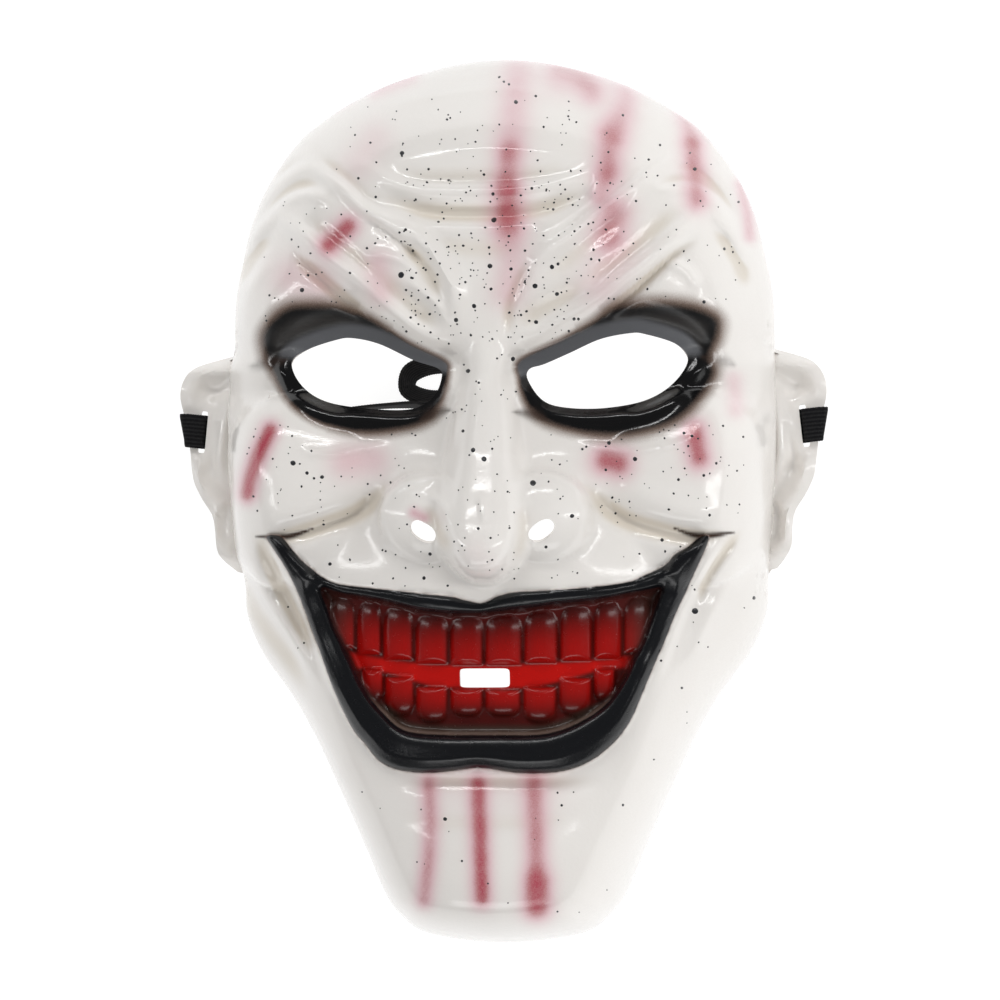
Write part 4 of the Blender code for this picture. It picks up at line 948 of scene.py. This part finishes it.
def paint(px, py):
    """The paint over the outer face, by name, with the painted shade in the fold hollows and the painted sheen on
    the upper lids.
    """
    into_lips = depth_into(smooth_curve(LIPS_OUTER, True, 4.0), px, py)
    into_mouth = depth_into(smooth_curve(LIPS_INNER, True, 4.0), px, py)
    flick = np.zeros(px.shape)
    for width, strength, points in FLICKS:
        gap, along = away_from(smooth_curve(points, False, 3.0), px, py)
        thin = width * (0.25 + 0.75 * np.sin(np.pi * np.clip(along, 0.02, 0.98)))
        flick = np.maximum(flick, strength * hump(gap, thin))
    socket = np.maximum(soft_socket(LEFT_SOCKET, px, py), soft_socket(RIGHT_SOCKET, px, py))
    # Where a lighter grey is painted along each upper lid: a painted sheen where the lid faces up to the lights
    lid_sheen = np.zeros(px.shape)
    above = np.zeros(px.shape)
    for outline in (LEFT_EYE, RIGHT_EYE):
        line = smooth_curve(outline, True, 3.0)
        gap = -depth_into(line, px, py)
        upper = smooth_step(1.0, -9.0, py - corner_line(outline, px))
        lid_sheen = np.maximum(lid_sheen, (1 - smooth_step(11.0, 17.0, gap)) * upper)
        above = np.maximum(above, upper * (gap < 80))
    teeth, down = tooth_shape(px, py)
    below_upper = smooth_step(-3.0, 3.0, py - row_line(UPPER_TEETH, px))
    above_lower = smooth_step(3.0, -3.0, py - row_line(LOWER_TEETH, px))
    return {
        "lip_depth": np.clip(into_lips, -40.0, 40.0),
        "mouth_depth": np.clip(into_mouth, -40.0, 60.0),
        "flick": flick,
        "socket": np.clip(socket, -4.0, 4.0),
        "lid_sheen": lid_sheen,
        "above": above,
        "tooth": teeth,
        "gum": down,
        "streak": streak_strength(px, py),
        # How deep the folds sink here, for the shade painted into their hollows
        "hollow": np.clip(-strokes(FOLDS, px, py) / FULL_SHADE_HOLLOW, 0.0, 1.0),
        "between": below_upper * above_lower,
        "corner": 0.92 * smooth_step(*MOUTH_CORNERS, np.abs(px - MOUTH_MIDDLE)),
        "low_rim": smooth_step(*LOW_RIM, py),
    }


def row_line(rows, px):
    """Height of a row of teeth's biting edge."""
    middles = [(left + right) / 2 for left, right, _, _ in rows]
    return np.interp(px, middles, [bite for _, _, _, bite in rows])


def streak_strength(px, py):
    """How thickly the pink paint lies, where streaks that cross add up."""
    total = np.zeros(px.shape)
    for width, strength, points in STREAKS:
        gap, _ = away_from(smooth_curve(points, False, 4.0), px, py)
        total = 1 - (1 - total) * (1 - strength * hump(gap, width))
    return total


def spatter_piece(tree):
    """Drops of black paint on the face, each a thin closed lens that lies on the sheet."""
    rng = np.random.default_rng(7)
    drops = [(x, y, r, DROP_FLAT, rng.uniform(0, math.pi)) for x, y, r in DROPS]
    for left, right, top, bottom, count in SPATTER:
        for _ in range(count):
            radius = FINE_DROP + FINE_DROP_SPREAD * rng.random() ** 2.0
            x, y = rng.uniform(left, right), rng.uniform(top, bottom)
            drops.append((x, y, radius, rng.uniform(0.7, 1.0), rng.uniform(0, math.pi)))
    lips = smooth_curve(LIPS_OUTER, True, 6.0)
    sockets = [smooth_curve(np.array(rows, float)[:, :2], True, 6.0) for rows in (LEFT_SOCKET, RIGHT_SOCKET)]
    right, up, back = view_axes()
    eye = np.array([0.0, 0.0, VIEW_AIM]) + back * VIEW_FROM
    points, triangles = [], []
    for x, y, radius, flat, turn in drops:
        place = np.array([x]), np.array([y])
        if depth_into(lips, *place)[0] > -2 or any(depth_into(line, *place)[0] > -1 for line in sockets):
            continue
        corners = 12 if radius > 1.6 else 8
        ring = []
        for k in range(corners):
            angle = k * math.tau / corners
            wobble = radius * (1 + rng.uniform(-0.06, 0.06))
            a, b = wobble * math.cos(angle), wobble * flat * math.sin(angle)
            c, s = math.cos(turn), math.sin(turn)
            ring.append((x + a * c - b * s, y + a * s + b * c))
        hits = []
        for sx, sy in ring + [(x, y)]:
            ray = ((sx - PHOTO_MIDDLE[0]) * right + (PHOTO_MIDDLE[1] - sy) * up) * PIXEL / VIEW_FROM - back
            place, normal, _, _ = tree.ray_cast(Vector(eye), Vector(ray).normalized())
            hits.append((place, normal))
        if any(place is None or place.z < DROP_LEAST_HEIGHT for place, _ in hits):
            continue
        spread = max((place - hits[-1][0]).length for place, _ in hits)
        if spread > 4 * radius * PIXEL:
            continue
        start = len(points)
        thick = min(DROP_THICK, 0.3 * radius * PIXEL)
        centre, normal = hits[-1]
        for place, out in hits[:-1]:
            points.append(place - out * DROP_EDGE_DEEP)
        for place, out in hits[:-1]:
            points.append(centre.lerp(place, 0.72) + normal * thick * 0.75)
        points.append(centre + normal * thick)
        points.append(centre - normal * DROP_ROOT_DEEP)
        top, low = start + 2 * corners, start + 2 * corners + 1
        for k in range(corners):
            p, q = start + k, start + (k + 1) % corners
            triangles += [(p, q, q + corners), (p, q + corners, p + corners)]
            triangles += [(p + corners, q + corners, top), (q, p, low)]
    return mesh_object("spatter", np.array(points), np.array(triangles), 60)


def slot_loop(side):
    """The strap's way from its sewn end up an ear's slot, out over the ear's edge and back under itself."""
    slot = placed([EAR_SLOT])[0] * (side, 1.0)
    out = np.array([side * math.cos(SLOT_TILT), math.sin(SLOT_TILT)])
    edge, slant = ear_edge(slot, out)
    top, low = EAR_LIFT, EAR_LIFT - WALL
    clear = STRAP_THICK / 2 + SEAT_GAP
    layer = STRAP_THICK + SEAT_GAP
    side_gap = SLOT_SHORT / 2
    stations = (
        (-SEWN_LENGTH, low - 1.35 * clear),
        (-SEWN_LENGTH / 2, low - 1.35 * clear),
        (-2.3 * side_gap, low - 1.35 * clear),
        (-1.0 * side_gap, low - 1.25 * clear),
        (-0.2 * side_gap, low - 0.75 * clear),
        (0.05 * side_gap, low),
        (0.05 * side_gap, top),
        (0.25 * side_gap, top + 0.6 * clear),
        (0.9 * side_gap, top + 1.15 * clear),
        ((edge + side_gap) / 2, top + 1.25 * clear),
        (edge - 0.2 * clear, top + 1.15 * clear),
        (edge + 0.9 * clear, top + 0.5 * clear),
        (edge + 1.15 * clear, (low + top) / 2),
        (edge + 0.8 * clear, low - 0.7 * clear),
        (edge - 0.4 * clear, low - 1.5 * clear),
        (side_gap, low - 1.2 * clear - layer),
        (-1.5 * side_gap, low - 1.5 * clear - layer),
        (-SEWN_LENGTH / 2, low - 1.5 * clear - layer),
        (-SEWN_LENGTH, low - 1.5 * clear - layer),
    )
    places = [(slot[0] + out[0] * run, slot[1] + out[1] * run, up) for run, up in stations]
    at_slot = np.array([-out[1], out[0]]) * side
    across = [at_slot + (slant - at_slot) * min(max(run / edge, 0.0), 1.0) for run, _ in stations]
    return places, [(*way, 0.0) for way in across]


def ear_edge(slot, out):
    """How far the ear's free edge lies from its slot, and which way the edge runs beside the strap."""
    line = ear_line(STRAP_THICK) * (np.sign(slot[0]), 1.0) - slot
    run = line @ out
    off = line @ np.array([-out[1], out[0]]) * np.sign(slot[0])
    beside = (run > 0) & (np.abs(off) < STRAP_WIDTH / 2)
    ends = line[beside][[0, -1]]
    slant = (ends[0] - ends[1]) / np.linalg.norm(ends[0] - ends[1])
    return float(run[beside].mean()), slant


def strap_stations():
    """Centres of the strap from its left end to its right end, and the direction across it at each."""
    left, left_across = slot_loop(-1.0)
    right, right_across = slot_loop(1.0)
    plan = placed([(u, v) for u, v, _, _ in STRAP_ROUTE])
    runs = np.gradient(plan, axis=0)
    middle, across = [], []
    for (x, y), run, (_, _, held, turn) in zip(plan, runs, STRAP_ROUTE):
        angle = turn * math.pi / 2
        run = run / np.linalg.norm(run)
        rest = (STRAP_WIDTH * math.sin(angle) + STRAP_THICK * math.cos(angle)) / 2
        middle.append((x, y, rest + held * EAR_LIFT + SEAT_GAP / 4))
        across.append((-run[1] * math.cos(angle), run[0] * math.cos(angle), math.sin(angle)))
    places = np.array(left + middle + right[::-1])
    return places, np.array(left_across + across + right_across[::-1])


def strap_line():
    """Ring centres along the strap, the direction across it and the way its face looks."""
    places, across = strap_stations()
    both = smooth_curve(np.hstack([places, across * STRAP_WIDTH]), False, RIB_STEP)
    centre, sideways = both[:, :3], both[:, 3:]
    run = np.gradient(centre, axis=0)
    run /= np.linalg.norm(run, axis=1, keepdims=True)
    sideways = sideways - run * np.sum(sideways * run, axis=1, keepdims=True)
    sideways /= np.linalg.norm(sideways, axis=1, keepdims=True)
    return centre, sideways, np.cross(run, sideways)


def strap_piece():
    """The woven elastic: ribs across it, and cords of rubber along it."""
    centre, sideways, face = strap_line()
    half, thick = STRAP_WIDTH / 2, STRAP_THICK / 2
    flat = (0.8, 0.48, 0.16, -0.16, -0.48, -0.8)
    section = [(1, 0), (0.97, 0.7)] + [(place, 1) for place in flat] + [(-0.97, 0.7)]
    section += [(-place, -level) for place, level in section]
    points, triangles = [], []
    count = len(section)
    for k, (place, side, up) in enumerate(zip(centre, sideways, face)):
        rib = 1.0 if k % 2 else RIB_SUNK
        edge = 1.0 if k % 2 else RIB_EDGE
        for a, b in section:
            points.append(place + a * edge * side * half + b * rib * up * thick)
    for ring in range(len(centre) - 1):
        for k in range(count):
            p, q = count * ring + k, count * ring + (k + 1) % count
            triangles.append((p, q, q + count))
            triangles.append((p, q + count, p + count))
    last = count * (len(centre) - 1)
    triangles += [(0, k + 1, k) for k in range(1, count - 1)]
    triangles += [(last, last + k, last + k + 1) for k in range(1, count - 1)]
    piece = mesh_object("woven_elastic", np.array(points), np.array(triangles), 180)
    across = np.tile([a * half / MM for a, _ in section], len(centre))
    add_layer(piece, "across", across)
    return piece, centre


def mesh_object(name, points, triangles, sharp):
    """One closed body with its faces outwards."""
    corners = points[triangles]
    volume = np.einsum("ij,ij->i", corners[:, 0], np.cross(corners[:, 1], corners[:, 2])).sum()
    if volume < 0:
        triangles = triangles[:, ::-1]
    mesh = bpy.data.meshes.new(name)
    mesh.from_pydata(points.tolist(), [], triangles.tolist())
    mesh.update()
    mesh.shade_smooth()
    mesh.set_sharp_from_angle(angle=math.radians(sharp))
    return in_scene(name, mesh)


def in_scene(name, data):
    thing = bpy.data.objects.new(name, data)
    bpy.context.scene.collection.objects.link(thing)
    return thing


def add_layer(piece, name, values):
    """A number at each point of a piece, for its material to read."""
    layer = piece.data.attributes.new(name, "FLOAT", "POINT")
    layer.data.foreach_set("value", values.astype(np.float32))


class Nodes:
    """Short ways to add shader nodes to a material."""

    def __init__(self, name):
        self.material = bpy.data.materials.new(name)
        self.material.use_nodes = True
        self.tree = self.material.node_tree
        self.shader = self.tree.nodes["Principled BSDF"]

    def add(self, kind, **settings):
        node = self.tree.nodes.new(kind)
        for key, value in settings.items():
            setattr(node, key, value)
        return node

    def link(self, source, target):
        self.tree.links.new(source, target)

    def put(self, socket, value):
        if isinstance(value, bpy.types.NodeSocket):
            self.link(value, socket)
        elif isinstance(value, tuple):
            socket.default_value = (*value, 1.0)
        else:
            socket.default_value = value

    def set(self, name, value):
        self.put(self.shader.inputs[name], value)

    def attribute(self, name):
        return self.add("ShaderNodeAttribute", attribute_name=name).outputs["Fac"]

    def noise(self, scale, detail=2.0):
        node = self.add("ShaderNodeTexNoise")
        node.inputs["Scale"].default_value = scale
        node.inputs["Detail"].default_value = detail
        self.link(self.add("ShaderNodeTexCoord").outputs["Object"], node.inputs["Vector"])
        return node.outputs["Fac"]

    def math(self, operation, a, b=0.0, clamp=False):
        node = self.add("ShaderNodeMath", operation=operation, use_clamp=clamp)
        self.put(node.inputs[0], a)
        self.put(node.inputs[1], b)
        return node.outputs[0]

    def times(self, a, b):
        return self.math("MULTIPLY", a, b)

    def plus(self, a, b):
        return self.math("ADD", a, b)

    def fade(self, name, low, high, out_low=0.0, out_high=1.0):
        """An attribute, eased from one value to another between two limits."""
        return self.ramp(self.attribute(name), low, high, out_low, out_high)

    def ramp(self, value, low, high, out_low=0.0, out_high=1.0):
        node = self.add("ShaderNodeMapRange", interpolation_type="SMOOTHSTEP")
        for k, item in enumerate((value, low, high, out_low, out_high)):
            self.put(node.inputs[k], item)
        return node.outputs[0]

    def mix(self, share, a, b, blend="MIX"):
        node = self.add("ShaderNodeMix", data_type="RGBA", blend_type=blend)
        self.put(node.inputs[0], share)
        self.put(node.inputs[6], a)
        self.put(node.inputs[7], b)
        return node.outputs[2]

    def bump(self, height, distance, strength=1.0):
        node = self.add("ShaderNodeBump")
        self.put(node.inputs["Height"], height)
        node.inputs["Distance"].default_value = distance
        node.inputs["Strength"].default_value = strength
        self.set("Normal", node.outputs[0])


def painted_plastic():
    """Ivory plastic with black lips and sockets, a red mouth and pink streaks under a clear gloss, with painted
    shade in the fold hollows and a painted sheen on the upper lids.
    """
    n = Nodes("painted_plastic")
    grain = n.math("SUBTRACT", n.noise(2600.0, 2.0), 0.5)
    wander = n.math("SUBTRACT", n.noise(420.0, 3.0), 0.5)
    ivory = n.mix(n.noise(90.0, 3.0), (0.835, 0.800, 0.765), (0.86, 0.835, 0.80))
    # Painted shade: a warm darker tint in the hollows of the folds, where shade falls
    ivory = n.mix(n.fade("hollow", 0.0, 1.0, 0.0, 0.70), ivory, (0.66, 0.59, 0.49))

    streak = n.times(n.attribute("streak"), n.ramp(n.noise(140.0, 2.0), 0.25, 0.75, 0.94, 1.05))
    streak = n.plus(streak, n.times(grain, n.times(streak, 0.30)))
    pink = n.mix(n.ramp(streak, 0.35, 0.85), (0.66, 0.22, 0.32), (0.44, 0.070, 0.100))
    colour = n.mix(n.math("MULTIPLY", streak, 1.0, clamp=True), ivory, pink)

    into_socket = n.plus(n.attribute("socket"), n.times(grain, 0.45))
    colour = n.mix(n.ramp(into_socket, -1.5, 0.35, 0.0, 0.9), colour, (0.15, 0.085, 0.055))
    upper_hollow = n.times(n.attribute("above"), n.fade("socket", 0.9, 2.2))
    black = n.mix(upper_hollow, (0.0040, 0.0040, 0.0045), (0.019, 0.017, 0.016))
    # Painted sheen: a lighter grey along the upper lid, where the lid faces up to the lights
    black = n.mix(n.attribute("lid_sheen"), black, (0.105, 0.108, 0.116))
    colour = n.mix(n.ramp(into_socket, -0.35, 0.95), colour, black)
    colour = n.mix(n.fade("flick", 0.0, 1.0), colour, (0.045, 0.026, 0.019))

    into_lips = n.plus(n.attribute("lip_depth"), n.times(wander, 1.2))
    colour = n.mix(n.ramp(into_lips, -2.6, 0.6, 0.0, 0.45), colour, (0.22, 0.12, 0.09))
    colour = n.mix(n.ramp(into_lips, -0.9, 0.9), colour, (0.0045, 0.0050, 0.0065))

    into_mouth = n.plus(n.attribute("mouth_depth"), n.times(wander, 1.2))
    tooth = n.mix(n.fade("gum", 0.04, 0.80), (0.055, 0.003, 0.002), (0.34, 0.003, 0.002))
    red = n.mix(n.attribute("between"), (0.075, 0.003, 0.002), (0.50, 0.003, 0.001))
    red = n.mix(n.fade("tooth", 0.0, 0.55), red, tooth)
    red = n.mix(n.attribute("corner"), red, (0.040, 0.018, 0.014))
    sill = n.mix(n.ramp(into_mouth, 1.0, 4.5), (0.15, 0.105, 0.085), (0.045, 0.026, 0.019))
    rim = n.mix(n.attribute("low_rim"), (0.030, 0.008, 0.007), sill)
    rim_start = n.fade("low_rim", 0.0, 1.0, 0.5, 5.0)
    rim_end = n.fade("low_rim", 0.0, 1.0, 7.0, 14.0)
    inside = n.mix(n.ramp(into_mouth, rim_start, rim_end), rim, red)
    colour = n.mix(n.ramp(into_mouth, -0.9, 0.9), colour, inside)
    n.set("Base Color", colour)

    satin = n.ramp(n.noise(700.0, 2.0), 0.2, 0.8, 0.10, 0.16)
    matte_socket = n.times(n.attribute("above"), n.fade("socket", 0.0, 1.0, 0.0, 0.22))
    matte_lips = n.ramp(into_lips, 0.0, 3.0, 0.0, 0.12)
    n.set("Roughness", n.plus(satin, n.plus(matte_socket, matte_lips)))
    n.bump(n.noise(900.0, 3.0), 0.00006, 0.6)
    return n.material


def spatter_paint():
    n = Nodes("spatter_paint")
    n.set("Base Color", n.mix(n.noise(800.0), (0.008, 0.009, 0.011), (0.035, 0.036, 0.040)))
    n.set("Roughness", 0.3)
    return n.material


def woven_elastic():
    n = Nodes("woven_elastic")
    warp = n.math("SINE", n.times(n.attribute("across"), CORDS))
    fuzz = n.noise(2400.0, 3.0)
    tone = n.plus(n.times(warp, 0.25), fuzz)
    n.set("Base Color", n.mix(n.ramp(tone, 0.2, 0.9), (0.004, 0.004, 0.005), (0.018, 0.018, 0.019)))
    n.set("Roughness", 0.85)
    n.set("Specular IOR Level", 0.2)
    n.bump(tone, 0.0002, 0.6)
    return n.material


def pale_floor():
    n = Nodes("pale_floor")
    n.set("Base Color", (0.20, 0.20, 0.20))
    n.set("Roughness", 0.9)
    n.set("Specular IOR Level", 0.1)
    n.set("Emission Color", (1.0, 1.0, 1.0))
    n.set("Emission Strength", FLOOR_GLOW)
    return n.material


def aimed(place, target):
    return (Vector(target) - Vector(place)).to_track_quat("-Z", "Y").to_euler()


def add_camera():
    right, up, back = (Vector(axis) for axis in view_axes())
    data = bpy.data.cameras.new("camera")
    data.sensor_width = SENSOR
    data.lens = SENSOR * VIEW_FROM / (PHOTO * PIXEL)
    data.shift_x = (PHOTO / 2 - PHOTO_MIDDLE[0]) / PHOTO
    camera = in_scene("camera", data)
    place = Vector((0.0, 0.0, VIEW_AIM)) + back * VIEW_FROM
    camera.matrix_world = Matrix.Translation(place) @ Matrix((right, up, back)).transposed().to_4x4()
    bpy.context.scene.camera = camera


def add_light(name, place, size, power, in_gloss):
    data = bpy.data.lights.new(name, "AREA")
    data.shape = "RECTANGLE"
    data.size, data.size_y = size
    data.energy = power
    light = in_scene(name, data)
    light.location = place
    light.rotation_euler = aimed(place, (0.0, 0.0, VIEW_AIM))
    light.visible_glossy = in_gloss


def add_studio():
    for light in LIGHTS:
        add_light(*light)
    world = bpy.data.worlds.new("studio")
    world.use_nodes = True
    world.node_tree.nodes["Background"].inputs[0].default_value = (1.0, 1.0, 1.0, 1.0)
    world.node_tree.nodes["Background"].inputs[1].default_value = ROOM_LIGHT
    bpy.context.scene.world = world
    mesh = bpy.data.meshes.new("floor")
    corners = [(-FLOOR_HALF, -FLOOR_HALF, 0), (FLOOR_HALF, -FLOOR_HALF, 0)]
    corners += [(FLOOR_HALF, FLOOR_HALF, 0), (-FLOOR_HALF, FLOOR_HALF, 0)]
    mesh.from_pydata(corners, [], [(0, 1, 2, 3)])
    floor = in_scene("floor", mesh)
    floor.data.materials.append(pale_floor())
    bpy.context.scene.view_settings.view_transform = "Standard"


add_camera()
add_studio()

strap, route = strap_piece()
strap.data.materials.append(woven_elastic())
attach(strap, "root")
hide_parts("elastic_strap")

mask, outer, faces = mask_piece()
mask.data.materials.append(painted_plastic())
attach(mask, "root")
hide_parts("mask_shell")

surface = BVHTree.FromPolygons(outer.tolist(), faces.tolist())
spatter = spatter_piece(surface)
spatter.data.materials.append(spatter_paint())
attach(spatter, "root")
